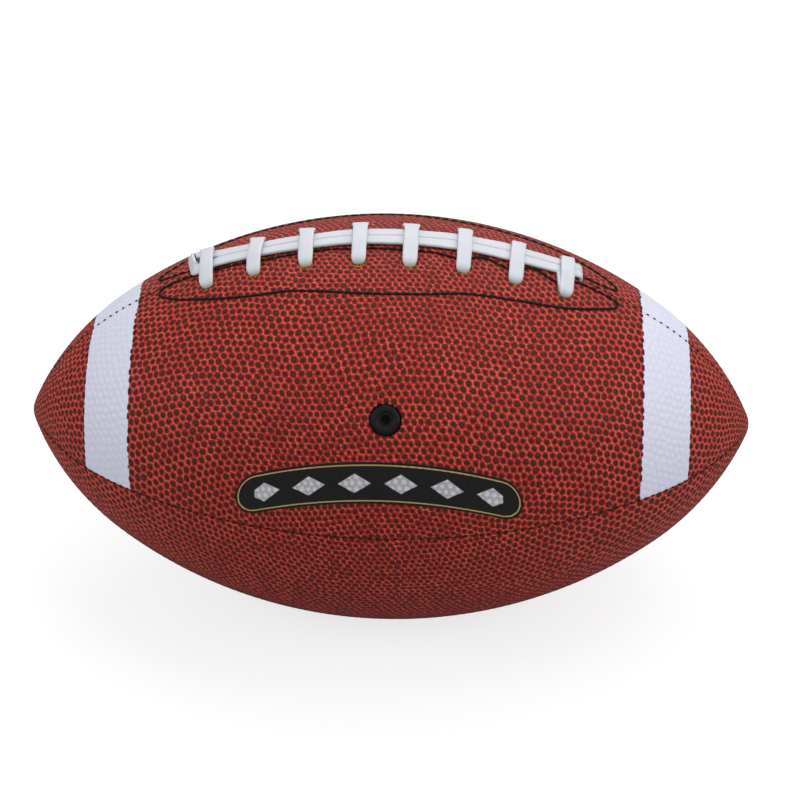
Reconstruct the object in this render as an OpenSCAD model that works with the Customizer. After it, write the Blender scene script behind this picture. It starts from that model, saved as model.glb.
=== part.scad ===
// American football: four sewn cover panels over cloth linings, a laced slit, a bladder and its valve.
// The long axis lies along X, the laces face up along +Z and the valve looks toward -Y.
// The origin is the centre of the ball.

/* [Ball] */
// Length from tip to tip
ball_l = 285; // [275:1:295]
// Diameter at the middle
ball_d = 161; // [156:0.5:168]
// Radius of the arcs between the middle and the tips
shoulder_r = 107.8; // [104:0.2:112]
// Radius of the rounded tips
tip_r = 9.7; // [9:0.1:12]
// Half angle of the long middle arc, in degrees
mid_angle = 34.7; // [33:0.1:37]

/* [Cover panels] */
// Thickness of the cover
cover_t = 2.4; // [1.8:0.1:3]
// Gap between two panels where they are sewn
seam_gap = 0.3; // [0.2:0.05:0.6]
// Radius of the rounded groove along a seam
groove_r = 2.2; // [1.8:0.1:3]
// Depth of that groove
groove_depth = 1.1; // [0.6:0.1:1.4]
// Width of the edge that is turned in and folded back under the lining
allowance_w = 6; // [4:0.5:8]
// Thickness of that turned edge, pared down before sewing
allowance_t = 1.6; // [1.2:0.1:2]
// Distance from a tip at which the turned edges are trimmed off
allowance_trim = 16.5; // [13:0.5:22]

/* [Lining and bladder] */
// Thickness of the cloth lining
lining_t = 1.6; // [1:0.1:2]
// Glue line or gap between two layers
layer_gap = 0.15; // [0.1:0.05:0.3]
// Wall of the rubber bladder
bladder_t = 1.2; // [0.8:0.1:1.6]

/* [Stripes] */
// Distance from a tip to the far edge of its stripe, along the long axis
stripe_tip_gap = 26; // [22:0.5:32]
// Width of a stripe, along the long axis
stripe_w = 19; // [16:0.5:21]
// Thickness of the stripe film
stripe_t = 0.25; // [0.15:0.05:0.5]

/* [Slit and lace] */
// Leather that is left between the slit and an end hole
slit_margin = 0.9; // [0.7:0.1:1.5]
// Width of the slit
slit_w = 1.4; // [1:0.1:1.6]
// Cross bars of the lace
bars = 8; // [6:1:8]
// Distance between neighbouring bars, along the surface
bar_pitch = 20; // [19:0.25:20.25]
// Distance from the seam to a row of lace holes
hole_side = 14.5; // [13.5:0.5:16]
// Diameter of a lace hole
hole_d = 6.2; // [6:0.1:7]
// Width of the flat lace
lace_w = 6.4; // [6:0.1:6.8]
// Thickness of the flat lace
lace_t = 1.9; // [1.6:0.1:2]
// Width that is left of the lace where a hole squeezes it
squeeze_share = 0.72; // [0.65:0.01:0.75]
// Clearance of the lace over the cover and to itself
lace_gap = 0.6; // [0.6:0.05:0.85]
// Distance from the last bar to the hole in which a long strap ends
end_hole_step = 6; // [6:0.25:8]
// Distance from the seam to an end hole
end_hole_side = 4; // [4:0.1:4.3]
// Distance from the first bar to the turn of the long strap
turn_step = 5.5; // [5.5:0.25:7]
// Tilt of the lace where the long strap turns back, in degrees
turn_tilt = 55; // [45:1:65]

/* [Lace patches and tongue] */
// Distance from an end hole to the pointed end of the sewn outline, along the surface
outline_reach = 16.5; // [14:0.5:18]
// Distance from the seam to the outline halfway
outline_side = 26.5; // [25:0.5:30]
// Extra width of the outline in its middle
outline_bulge = 2; // [0:0.25:3]
// Length over which that extra width fades
bulge_reach = 22; // [15:1:30]
// Distance from the seam to the row of stitches along the slit
slit_stitch_side = 8.4; // [8:0.1:9]
// Distance from the seam to the pointed ends of the outline
outline_tip_side = 4; // [3:0.25:5]
// Margin of a patch beyond the outline
patch_margin = 3; // [2:0.5:4]
// Thickness of a patch
patch_t = 1.2; // [0.8:0.1:1.5]
// Half width of the tongue
tongue_half_w = 19; // [17:0.5:21]
// Distance that the tongue ends short of the outline
tongue_inset = 2.5; // [1:0.5:5]
// Thickness of the tongue
tongue_t = 2; // [1.5:0.1:2.5]

/* [Thread] */
// Diameter of the sewing thread of the outline
stitch_d = 0.8; // [0.6:0.05:1]
// Diameter of the waxed thread in the seams
seam_thread_d = 0.8; // [0.6:0.05:1]
// Gap between thread and cover
thread_gap = 0.06; // [0.05:0.01:0.12]

/* [Valve] */
// Distance of the valve from the middle of the ball, along the long axis
valve_x = 2.5; // [-5:0.5:5]
// Angle of the valve from the lace seam, in degrees
valve_angle = 56.5; // [50:0.5:62]
// Diameter of the rubber button that shows
button_d = 12.6; // [11:0.1:14]
// Height of the button over the cover
button_rise = 0.9; // [0.5:0.1:1.5]
// Clearance round the button
button_gap = 0.2; // [0.15:0.05:0.4]
// Diameter of the flange bonded inside the bladder
flange_d = 24; // [20:0.5:28]
// Thickness of that flange
flange_t = 1.2; // [1:0.1:2]
// Diameter of the bond patch between bladder and flange
bond_d = 34; // [30:0.5:38]
// Thickness of the bond patch
bond_t = 0.8; // [0.5:0.1:1.2]
// Diameter of the stem behind the flange
stem_d = 9; // [8:0.1:10]
// Depth of the stem, from the surface of the ball
stem_depth = 19; // [17:0.5:22]
// Diameter of the valve core
core_d = 5; // [4.5:0.1:5.5]
// Diameter of the collar that holds the core in its place
collar_d = 6.6; // [6.2:0.1:7]
// Height of that collar
collar_h = 2.5; // [2:0.1:3]
// Clearance between core and housing
core_gap = 0.1; // [0.05:0.01:0.15]
// Diameter of the needle bore
needle_d = 2.2; // [2:0.1:2.5]
// Depth of the needle bore, from the bottom of its funnel
needle_depth = 11; // [9:0.5:12]
// Diameter of the funnel that leads the needle in
funnel_d = 4; // [3.5:0.1:4.2]
// Depth of the funnel
funnel_depth = 1.2; // [1:0.1:1.5]

/* [Hidden] */
$fn = 96;
half_l = ball_l / 2;
degree = 180 / PI;
// Every cut runs past its faces by this much
overrun = cover_t;

// Shares that shape the outline round the lace, the corners of the lace and the grooves
outer_power_share = 0.46;
inner_power_share = 0.12;
lip_share = 0.75;
swell_share = 1.15;
bevel_share = 0.3;
groove_narrow_share = 0.95;
button_ring_share = 0.31;
ring_drop_share = 0.2;
ring_groove_share = 0.03;

// Side view of the ball: a long middle arc, two shoulder arcs and two tip arcs, all tangent.
// The step from the shoulder radius to the middle radius follows from the two tangent points.
arc_rise = 1 - cos(mid_angle);
arc_reach = (half_l - tip_r) * sin(mid_angle) + (ball_d / 2 - shoulder_r) * arc_rise;
arc_slack = pow(half_l - tip_r, 2) + pow(ball_d / 2 - shoulder_r, 2) - pow(shoulder_r - tip_r, 2);
arc_step = (arc_reach - sqrt(pow(arc_reach, 2) - 2 * arc_rise * arc_slack)) / (2 * arc_rise);
mid_r = shoulder_r + arc_step;
mid_c = ball_d / 2 - mid_r;
shoulder_x = arc_step * sin(mid_angle);
shoulder_z = mid_c + arc_step * cos(mid_angle);
tip_x = half_l - tip_r;
tip_angle = atan2(tip_x - shoulder_x, -shoulder_z);

// Edges of the stripes and end of the turned edges, from the middle of the ball
stripe_out = half_l - stripe_tip_gap;
stripe_in = stripe_out - stripe_w;
allowance_end = half_l - allowance_trim;

// Layers under the cover, as depths below the surface of the ball
lining_in = cover_t + layer_gap;
lining_floor = lining_in + lining_t;
fold_in = lining_floor + layer_gap;
fold_floor = fold_in + allowance_t;
patch_floor = fold_in + patch_t;
bladder_in = lining_floor + 2 * layer_gap;
bladder_seam_in = fold_floor + 2 * layer_gap;
run_depth = fold_floor + 2 * layer_gap + lace_t / 2;
tongue_in = run_depth + lace_t / 2 + 2 * layer_gap;
tongue_floor = tongue_in + tongue_t;
bond_in = bladder_in + bladder_t + layer_gap;
flange_in = bond_in + bond_t + layer_gap;

film_gap = layer_gap / 3;
patch_spread = 30;
groove_end = 64;
groove_lap = 1;
thread_end = 68;
thread_step = 3;
thread_sides = 6;

// Seam edges, measured from the plane of a seam
edge_in = seam_gap / 2;
web_out = edge_in + allowance_t;
fold_out = edge_in + allowance_w;
lining_edge = web_out + layer_gap;
patch_edge = fold_out + layer_gap;

// Heights of the lace over the cover
strap_h = lace_gap / 2 + lace_t / 2;
bar_h = strap_h + lace_t + lace_gap;
lip_h = lace_t * lip_share;
strap_side = lace_w / 2 + lace_gap / 2;
strap_edge = end_hole_side + lace_w / 2 + lace_gap;
last_bar = (bars - 1) / 2 * bar_pitch;
end_hole_s = last_bar + end_hole_step;
turn_s = last_bar + turn_step;
slit_half = end_hole_s - hole_d / 2 - slit_margin;
outline_half = end_hole_s + outline_reach;
tongue_half = outline_half - tongue_inset;

// Bends of the lace
hole_bend = 2.2;
strap_bend = 1.8;
inner_turn_r = 5;
lace_tail = 9;
// Where the straps start to spread toward the end holes, and where the inner run turns along them
spread_s = end_hole_s - hole_bend - strap_bend - lace_gap;
inner_turn_s = end_hole_s - hole_bend - inner_turn_r - lace_gap;
turn_h = lace_gap / 2 + lace_w / 2 * sin(turn_tilt) + lace_t / 2 * cos(turn_tilt);

// Room that the bladder leaves for the patches
pocket_half_l = station(outline_half + 2 * patch_margin);
pocket_half_w = outline_side + outline_bulge + patch_margin;

// Details of the valve
core_top = button_rise / 2;
bore_top = core_top - funnel_depth;
core_depth = stem_depth - collar_h / 2;
collar_in = stem_depth / 2 + collar_h / 2;
ring_r = button_d * button_ring_share;
ring_drop = button_rise * ring_drop_share;
ring_groove_r = button_d * ring_groove_share;

// Helpers for the shape of the ball

// Turns a revolved section so that its axis is the long axis and its start is the lace seam
module along_ball() {
  rotate([0, 90, 0]) rotate([0, 0, 180]) children();
}

// Half of the side view, a given depth below the surface
module side_view(depth) {
  mid_stop = (mid_r - depth) * sin(mid_angle);
  tip_stop = tip_x + (tip_r - depth) * sin(tip_angle);
  mid_view(depth, mid_stop);
  for (side = [0, 1]) mirror([0, side]) {
    intersection() {
      translate([shoulder_z, shoulder_x]) circle(shoulder_r - depth);
      translate([0, mid_stop - overrun]) square([ball_d, tip_stop - mid_stop + overrun]);
    }
    intersection() {
      translate([0, tip_x]) circle(tip_r - depth);
      translate([0, tip_stop - overrun]) square([ball_d, tip_r]);
    }
  }
}

// The middle arc alone, up to the given distance from the middle
module mid_view(depth, half) {
  intersection() {
    translate([mid_c, 0]) circle(mid_r - depth);
    translate([0, -half]) square([ball_d, 2 * half]);
  }
}

// Section of a layer between two depths
module layer_view(depth, floor) {
  difference() {
    side_view(depth);
    side_view(floor);
  }
}

// Section of a layer that stops short of the tips
module short_view(depth, floor, half) {
  intersection() {
    layer_view(depth, floor);
    translate([0, -half]) square([ball_d, 2 * half]);
  }
}

// Layer under the middle arc, over the given angle to both sides of the lace seam
module mid_layer(depth, floor, half, spread) {
  along_ball() rotate_extrude(start = -spread, angle = 2 * spread) difference() {
    mid_view(depth, half);
    mid_view(floor, half);
  }
}

// Space of one quarter of the ball, from the given distance to its two seam planes
module quarter(edge) {
  translate([-ball_l, -ball_d - edge, edge]) cube([2 * ball_l, ball_d, ball_d]);
}

// The two strips of that quarter that lie along its seam planes
module seam_strips(width) {
  translate([-ball_l, -width, 0]) cube([2 * ball_l, width, ball_d]);
  translate([-ball_l, -ball_d, 0]) cube([2 * ball_l, ball_d, width]);
}

// Station on the long axis of a distance along the surface from the middle
function station(s) = mid_r * sin(s / mid_r * degree);

// Radius of the ball at such a distance
function girth_r(s) = mid_c + mid_r * cos(s / mid_r * degree);

// Places a piece on the surface: s along the lace seam and v across it, toward the front
module on_surface(s, v) {
  rotate([v / girth_r(s) * degree, 0, 0])
    translate([0, 0, mid_c]) rotate([0, s / mid_r * degree, 0]) translate([0, 0, mid_r]) children();
}

// The same place as a point, at height h over the surface
function surface_point(q) =
  let (
    a = q[0] / mid_r * degree,
    f = q[1] / girth_r(q[0]) * degree,
    r = mid_c + (mid_r + q[2]) * cos(a)
  )
  [(mid_r + q[2]) * sin(a), -r * sin(f), r * cos(f)];

// The directions along the seam, across it and out of the surface, at the same place
function surface_axes(q) =
  let (a = q[0] / mid_r * degree, f = q[1] / girth_r(q[0]) * degree)
  [
    [cos(a), sin(a) * sin(f), -sin(a) * cos(f)],
    [0, -cos(f), -sin(f)],
    [sin(a), -cos(a) * sin(f), cos(a) * cos(f)]
  ];

// Places a piece on the axis of the valve, from the surface of the ball
module at_valve() {
  rotate([valve_angle, 0, 0])
    translate([0, 0, mid_c]) rotate([0, asin(valve_x / mid_r), 0]) translate([0, 0, mid_r]) children();
}

// Sweeps

function unit(v) = v / norm(v);

// Skin over rings of points, closed to a loop or capped at both ends
module skin(rings, closed) {
  n = len(rings[0]);
  m = len(rings);
  last = (m - 1) * n;
  sides = [
    for (i = [0 : m - (closed ? 1 : 2)], k = [0 : n - 1])
      let (
        here = i * n,
        next = (i + 1) % m * n,
        beside = (k + 1) % n
      )
      each [[here + k, next + k, next + beside], [here + k, next + beside, here + beside]]
  ];
  caps = [for (k = [1 : n - 2]) each [[0, k, k + 1], [last, last + k + 1, last + k]]];
  polyhedron([for (ring = rings) each ring], closed ? sides : concat(sides, caps));
}

// Round thread along points, each given with a direction that is never along the thread
module thread(points, outs, d, closed = false) {
  m = len(points);
  skin([
    for (i = [0 : m - 1])
      let (
        before = points[closed ? (i + m - 1) % m : max(i - 1, 0)],
        after = points[closed ? (i + 1) % m : min(i + 1, m - 1)],
        t = unit(after - before),
        across = unit(cross(outs[i], t)),
        out = cross(t, across)
      )
      [
        for (k = [0 : thread_sides - 1])
          let (turn = 360 * k / thread_sides)
          points[i] + d / 2 * (across * cos(turn) + out * sin(turn))
      ]
  ], closed);
}

// Cover

// Groove along the lace seam; the end arcs are narrower, so that each starts inside the long one
module seam_groove() {
  groove_arc(0, mid_c, mid_r, groove_r, 90 - mid_angle, 2 * mid_angle);
}

module end_groove(side) {
  sweep = groove_end - mid_angle + groove_lap;
  tube = groove_r * groove_narrow_share;
  mirror([side, 0, 0]) groove_arc(shoulder_x, shoulder_z, shoulder_r, tube, 90 - groove_end, sweep);
}

module groove_arc(x, z, r, tube, start, angle) {
  translate([x, 0, z]) rotate([90, 0, 0]) rotate_extrude(start = start, angle = angle)
    translate([r + groove_r - groove_depth, 0]) circle(tube, $fn = 48);
}

// Holes for the lace on the front side of the seam
module lace_holes() {
  for (i = [0 : bars - 1]) lace_hole(i * bar_pitch - last_bar, hole_side);
  lace_hole(end_hole_s, end_hole_side);
}

module lace_hole(s, v) {
  on_surface(s, v) translate([0, 0, -run_depth]) cylinder(h = run_depth + overrun, d = hole_d);
}

// Hole for the button of the valve
module valve_hole() {
  at_valve() translate([0, 0, -stem_depth])
    cylinder(h = stem_depth + overrun, d = button_d + 2 * button_gap);
}

// Side view of a stripe on the right half
module stripe_view(depth, floor, slack) {
  intersection() {
    layer_view(depth, floor);
    translate([0, stripe_in - slack]) square([ball_d, stripe_out - stripe_in + 2 * slack]);
  }
}

// Cuts the grooves of the two seams from a piece of the upper front quarter
module with_grooves() {
  difference() {
    children();
    seam_groove();
    end_groove(0);
    end_groove(1);
    rotate([90, 0, 0]) seam_groove();
    rotate([90, 0, 0]) end_groove(0);
    rotate([90, 0, 0]) end_groove(1);
  }
}

// Section of a cover panel, with the beds of the stripes
module cover_view(striped) {
  difference() {
    layer_view(0, cover_t);
    if (striped) for (side = [0, 1]) mirror([0, side])
      stripe_view(-overrun, stripe_t + film_gap, film_gap);
  }
}

// One panel in the upper front quarter, its edges turned in and folded back behind the lining
module cover_panel(striped) {
  with_grooves() intersection() {
    union() {
      along_ball() rotate_extrude(angle = 90) cover_view(striped);
      intersection() {
        along_ball() rotate_extrude(angle = 90) short_view(cover_t / 2, fold_floor, allowance_end);
        seam_strips(web_out);
      }
      intersection() {
        along_ball() rotate_extrude(angle = 90) short_view(fold_in, fold_floor, allowance_end);
        seam_strips(fold_out);
      }
    }
    quarter(edge_in);
  }
}

// Upper panel with its half of the slit and its lace holes
module laced_panel() {
  difference() {
    cover_panel(true);
    translate([-station(slit_half), -slit_w / 2, 0]) cube([2 * station(slit_half), slit_w, ball_d]);
    lace_holes();
  }
}

module cover_top_front() color("sienna") difference() {
  laced_panel();
  valve_hole();
}

module cover_top_back() color("sienna") mirror([0, 1, 0]) laced_panel();

module cover_bottom_front() color("sienna") mirror([0, 0, 1]) cover_panel(false);

module cover_bottom_back() color("sienna") rotate([180, 0, 0]) cover_panel(false);

// Stripe films

module stripe_film() color("white") with_grooves() intersection() {
  along_ball() rotate_extrude(angle = 90) stripe_view(0, stripe_t, 0);
  quarter(edge_in);
}

module stripe_right_front() stripe_film();

module stripe_right_back() mirror([0, 1, 0]) stripe_film();

module stripe_left_front() mirror([1, 0, 0]) stripe_film();

module stripe_left_back() mirror([1, 0, 0]) mirror([0, 1, 0]) stripe_film();

// Lining

module lining_quarter() color("lightgray") intersection() {
  along_ball() rotate_extrude(angle = 90) layer_view(lining_in, lining_floor);
  quarter(lining_edge);
}

module lining_top_front() difference() {
  lining_quarter();
  lace_holes();
  valve_hole();
}

module lining_top_back() mirror([0, 1, 0]) difference() {
  lining_quarter();
  lace_holes();
}

module lining_bottom_front() mirror([0, 0, 1]) lining_quarter();

module lining_bottom_back() rotate([180, 0, 0]) lining_quarter();

// Sewn outline round the lace

// Distance from the seam of the outline's outer and inner branch, at a share of its half length
function outer_side(u) =
  outline_tip_side + (outline_side - outline_tip_side) * pow(max(1 - u * u, 0), outer_power_share)
  + outline_bulge * exp(-pow(u * outline_half / bulge_reach, 2));
function inner_side(u) =
  outline_tip_side + (slit_stitch_side - outline_tip_side) * pow(max(1 - u * u, 0), inner_power_share);

module outline_stitch() color("black") {
  steps = 48;
  h = stitch_d / 2 + thread_gap;
  outer = [for (i = [0 : steps]) let (u = -cos(180 * i / steps)) [u * outline_half, outer_side(u), h]];
  inner = [for (i = [1 : steps - 1]) let (u = cos(180 * i / steps)) [u * outline_half, inner_side(u), h]];
  loop = concat(outer, inner);
  thread([for (q = loop) surface_point(q)], [for (q = loop) surface_axes(q)[2]], stitch_d, true);
}

module outline_stitch_front() outline_stitch();

module outline_stitch_back() mirror([0, 1, 0]) outline_stitch();

// Patch that backs the lace holes, in the plan view of the outline with a margin
module lace_patch() color("peru") {
  steps = 32;
  grow = (outline_half + patch_margin) / outline_half;
  edge = [
    for (i = [0 : steps])
      let (u = -cos(180 * i / steps), s = u * outline_half * grow, v = outer_side(u) + patch_margin)
      [station(s), -girth_r(s) * sin(v / girth_r(s) * degree)]
  ];
  ends = [[edge[steps][0], -patch_edge], [edge[0][0], -patch_edge]];
  difference() {
    intersection() {
      mid_layer(fold_in, patch_floor, station(outline_half * grow), patch_spread);
      linear_extrude(ball_d) polygon(concat(edge, ends));
    }
    lace_holes();
  }
}

module lace_patch_front() lace_patch();

module lace_patch_back() mirror([0, 1, 0]) lace_patch();

// Tongue: a strip with round ends under the slit
module tongue() color("peru") intersection() {
  mid_layer(tongue_in, tongue_floor, station(tongue_half), patch_spread);
  linear_extrude(ball_d) tongue_plan(0);
}

module tongue_plan(slack) {
  straight = station(tongue_half) - tongue_half_w;
  translate([-straight, -tongue_half_w - slack]) square([2 * straight, 2 * (tongue_half_w + slack)]);
  for (side = [-1, 1]) translate([side * straight, 0]) circle(tongue_half_w + slack);
}

// Bladder

// Outer form of the bladder, shrunk by the given amount: it fills the ball up to the lining,
// leaves room for the folded seams and is pressed in under the patches and the tongue
module bladder_form(shrink) {
  difference() {
    union() {
      along_ball() rotate_extrude() side_view(bladder_seam_in + shrink);
      intersection() {
        along_ball() rotate_extrude() side_view(bladder_in + shrink);
        for (turn = [0 : 3]) rotate([90 * turn, 0, 0]) quarter(patch_edge + shrink);
      }
    }
    bladder_pocket(patch_floor + 2 * layer_gap + shrink)
      square(2 * [pocket_half_l + shrink, pocket_half_w + shrink], true);
    bladder_pocket(tongue_floor + 2 * layer_gap + shrink) tongue_plan(2 * layer_gap + shrink);
  }
}

// Space over the given depth within a plan view
module bladder_pocket(floor) {
  difference() {
    linear_extrude(ball_d) children();
    along_ball() rotate_extrude() mid_view(floor, station(outline_half + outline_side));
  }
}

module bladder() color("dimgray") difference() {
  bladder_form(0);
  bladder_form(bladder_t);
  valve_hole();
}

// Valve

// Disc of a layer round the valve axis
module valve_disc(depth, t, d) {
  intersection() {
    rotate([valve_angle, 0, 0]) mid_layer(depth, depth + t, valve_x + d, patch_spread);
    at_valve() translate([0, 0, -stem_depth]) cylinder(h = stem_depth, d = d);
  }
}

module bond_patch() color("black") difference() {
  valve_disc(bond_in, bond_t, bond_d);
  valve_hole();
}

// Rubber button, flange and stem, bored for the core
module valve_housing() color("black") {
  dome_r = (pow(button_rise, 2) + pow(button_d / 2, 2)) / (2 * button_rise);
  neck = flange_in + flange_t / 2;
  difference() {
    union() {
      valve_disc(flange_in, flange_t, flange_d);
      at_valve() rotate_extrude() {
        translate([0, -neck]) intersection() {
          square([button_d / 2, neck + button_rise]);
          translate([0, neck + button_rise - dome_r]) circle(dome_r);
        }
        translate([0, -stem_depth]) square([stem_d / 2, stem_depth]);
      }
    }
    at_valve() rotate_extrude() {
      core_view(core_gap, stem_depth + overrun, button_rise + overrun);
      translate([ring_r, button_rise - ring_drop]) circle(ring_groove_r);
    }
  }
}

// Section of the core, grown by a clearance, from a depth to a height
module core_view(slack, depth, top) {
  translate([0, -depth]) square([core_d / 2 + slack, depth + top]);
  translate([0, -collar_in - slack]) square([collar_d / 2 + slack, collar_h + 2 * slack]);
}

// Plug with the needle bore and its funnel
module valve_core() color("black") at_valve() rotate_extrude() difference() {
  core_view(0, core_depth, core_top);
  translate([0, bore_top - needle_depth]) square([needle_d / 2, needle_depth + funnel_depth]);
  polygon([[0, bore_top], [needle_d / 2, bore_top], [funnel_d / 2, core_top], [0, core_top]]);
}

// Seam threads

// Point of the upper side view whose normal leans from straight up by the given angle
function outline_point(a, lift) =
  let (
    q = abs(a),
    shoulder = [shoulder_x, shoulder_z, shoulder_r],
    arc = q < mid_angle ? [0, mid_c, mid_r] : q < tip_angle ? shoulder : [tip_x, 0, tip_r],
    r = arc[2] + lift
  )
  [sign(a) * (arc[0] + r * sin(q)), 0, arc[1] + r * cos(q)];

// Thread at the bottom of the seam groove, between two such angles
module seam_thread(from, to) {
  steps = ceil((to - from) / thread_step);
  lift = seam_thread_d / 2 + thread_gap - groove_depth;
  angles = [for (i = [0 : steps]) from + (to - from) * i / steps];
  thread([for (a = angles) outline_point(a, lift)], [for (a = angles) [0, 1, 0]], seam_thread_d);
}

module seam_thread_top() color("black") {
  start = (end_hole_s + hole_d) / mid_r * degree;
  seam_thread(start, thread_end);
  seam_thread(-thread_end, -start);
}

module seam_thread_front() color("black") rotate([90, 0, 0]) seam_thread(-thread_end, thread_end);

module seam_thread_bottom() color("black") rotate([180, 0, 0]) seam_thread(-thread_end, thread_end);

module seam_thread_back() color("black") rotate([270, 0, 0]) seam_thread(-thread_end, thread_end);

// Lace

// Corner of the route: a place on the surface, how far the bend starts before it and ends after it,
// the direction of the lace's width before and after the bend, and whether a hole squeezes it there
function corner(place, cut, side_in, side_out, squeeze_in = 0, squeeze_out = 0) =
  [place, cut, side_in, side_out, squeeze_in, squeeze_out];

along = [1, 0, 0];
over = [0, 1, 0];
leaning = [-cos(turn_tilt), 0, -sin(turn_tilt)];

// One bar: out of a front hole, over both straps, into a back hole and on under the cover
function bar_corners(s) = [
  corner([s, hole_side, -run_depth], hole_bend, along, along, 0, 1),
  corner([s, hole_side, lip_h], hole_bend, along, along, 1, 0),
  corner([s, strap_edge, bar_h], strap_bend, along, along),
  corner([s, -strap_edge, bar_h], strap_bend, along, along),
  corner([s, -hole_side, lip_h], hole_bend, along, along, 0, 1),
  corner([s, -hole_side, -run_depth], hole_bend, along, along, 1, 0)
];

// The long strap: out of the back end hole, along the slit, round the turn, into the front end hole
strap_corners = [
  corner([inner_turn_s, -end_hole_side, -run_depth], inner_turn_r, along, -over),
  corner([end_hole_s, -end_hole_side, -run_depth], hole_bend, -over, -over, 0, 1),
  corner([end_hole_s, -end_hole_side, strap_h], hole_bend, -over, -over, 1, 0),
  corner([spread_s, -strap_side, strap_h], strap_bend, -over, -over),
  corner([-turn_s + strap_bend, -strap_side, strap_h], strap_bend, -over, -over),
  corner([-turn_s - strap_side, -strap_side, turn_h], strap_side, -over, leaning),
  corner([-turn_s - strap_side, strap_side, turn_h], strap_side, leaning, over),
  corner([-turn_s + strap_bend, strap_side, strap_h], strap_bend, over, over),
  corner([spread_s, strap_side, strap_h], strap_bend, over, over),
  corner([end_hole_s, end_hole_side, strap_h], hole_bend, over, over, 0, 1),
  corner([end_hole_s, end_hole_side, -run_depth], hole_bend, over, over, 1, 0)
];

lace_corners = concat(
  [corner([-last_bar - bar_pitch / 2, 0, -run_depth], 0, along, along)],
  [for (i = [0 : bars - 1]) each bar_corners(i * bar_pitch - last_bar)],
  strap_corners,
  [corner([end_hole_s + lace_tail, end_hole_side, -run_depth], 0, over, over)]
);

function toward(a, b, d) = a + (b - a) * d / norm(b - a);
function blend(a, b, t) = a + (b - a) * t;

// Stations of the lace: place, width direction and squeeze, with bends as quadratic curves
bend_steps = 4;
lace_stations = [
  for (i = [0 : len(lace_corners) - 1])
    let (
      c = lace_corners[i],
      before = lace_corners[max(i - 1, 0)],
      after = lace_corners[min(i + 1, len(lace_corners) - 1)],
      a = c[1] == 0 ? c[0] : toward(c[0], before[0], c[1]),
      b = c[1] == 0 ? c[0] : toward(c[0], after[0], c[1]),
      next = after[1] == 0 ? after[0] : toward(after[0], c[0], after[1]),
      fill = i == len(lace_corners) - 1 ? 0 : ceil(norm(next - b) / lace_w) - 1
    )
    each concat(
      c[1] == 0 ? [[a, c[2], 0]] : [
        for (k = [0 : bend_steps])
          let (t = k / bend_steps)
          [blend(blend(a, c[0], t), blend(c[0], b, t), t), blend(c[2], c[3], t), blend(c[4], c[5], t)]
      ],
      fill < 1 ? [] : [for (k = [1 : fill]) [blend(b, next, k / (fill + 1)), c[3], c[5]]]
    )
];

// The same in space: centre, tangent, width direction, face direction, half width, half thickness
// and half the distance to the farther neighbour
lace_points = [for (q = lace_stations) surface_point(q[0])];
lace_frames = [
  for (i = [0 : len(lace_stations) - 1])
    let (
      q = lace_stations[i],
      p = lace_points[i],
      before = lace_points[max(i - 1, 0)],
      after = lace_points[min(i + 1, len(lace_points) - 1)],
      t = unit(after - before),
      side = q[1] * surface_axes(q[0]),
      w = unit(side - (side * t) * t)
    )
    [
      p, t, w, cross(t, w),
      lace_w / 2 * blend(1, squeeze_share, q[2]), lace_t / 2 * blend(1, swell_share, q[2]),
      max(norm(after - p), norm(p - before)) / 2
    ]
];

// Ring of a flat section with bevelled corners
function flat_ring(f) =
  let (
    w = f[4],
    t = f[5],
    c = bevel_share * 2 * t,
    upper = [[w, t - c], [w - c, t], [c - w, t], [-w, t - c]]
  )
  [for (q = concat(upper, -upper)) f[0] + q[0] * f[2] + q[1] * f[3]];

lace_rings = [for (f = lace_frames) flat_ring(f)];

// Gap between a point and the stretch of lace round a station
function stretch_gap(p, f) =
  let (d = p - f[0])
  norm([max(abs(d * f[1]) - f[6], 0), max(abs(d * f[2]) - f[4], 0), max(abs(d * f[3]) - f[5], 0)]);

// Least gap of the lace to itself, over stations that aren't neighbours
least_lace_gap = min([
  for (i = [0 : len(lace_frames) - 1], j = [0 : len(lace_frames) - 1])
    if (abs(i - j) > 2 * bend_steps && norm(lace_points[i] - lace_points[j]) < 2 * lace_w)
      each [for (p = lace_rings[i]) stretch_gap(p, lace_frames[j])]
]);

module lace() color("white") {
  echo(least_gap_of_the_lace_to_itself = least_lace_gap);
  skin(lace_rings, false);
}

cover_top_front();
cover_top_back();
cover_bottom_front();
cover_bottom_back();
lining_top_front();
lining_top_back();
lining_bottom_front();
lining_bottom_back();
lace_patch_front();
lace_patch_back();
tongue();
lace();
bladder();
bond_patch();
valve_housing();
valve_core();
seam_thread_top();
seam_thread_front();
seam_thread_bottom();
seam_thread_back();
outline_stitch_front();
outline_stitch_back();
stripe_left_front();
stripe_left_back();
stripe_right_front();
stripe_right_back();
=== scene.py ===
"""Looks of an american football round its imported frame.

Frame: the long axis is X, the laces face up along +Z, the valve looks toward -Y and the origin is
the middle of the ball. Places on the ball are given by a distance s along the side view from the
middle, a turn round the long axis from the lace seam, and a height h over the surface.
"""

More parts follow.
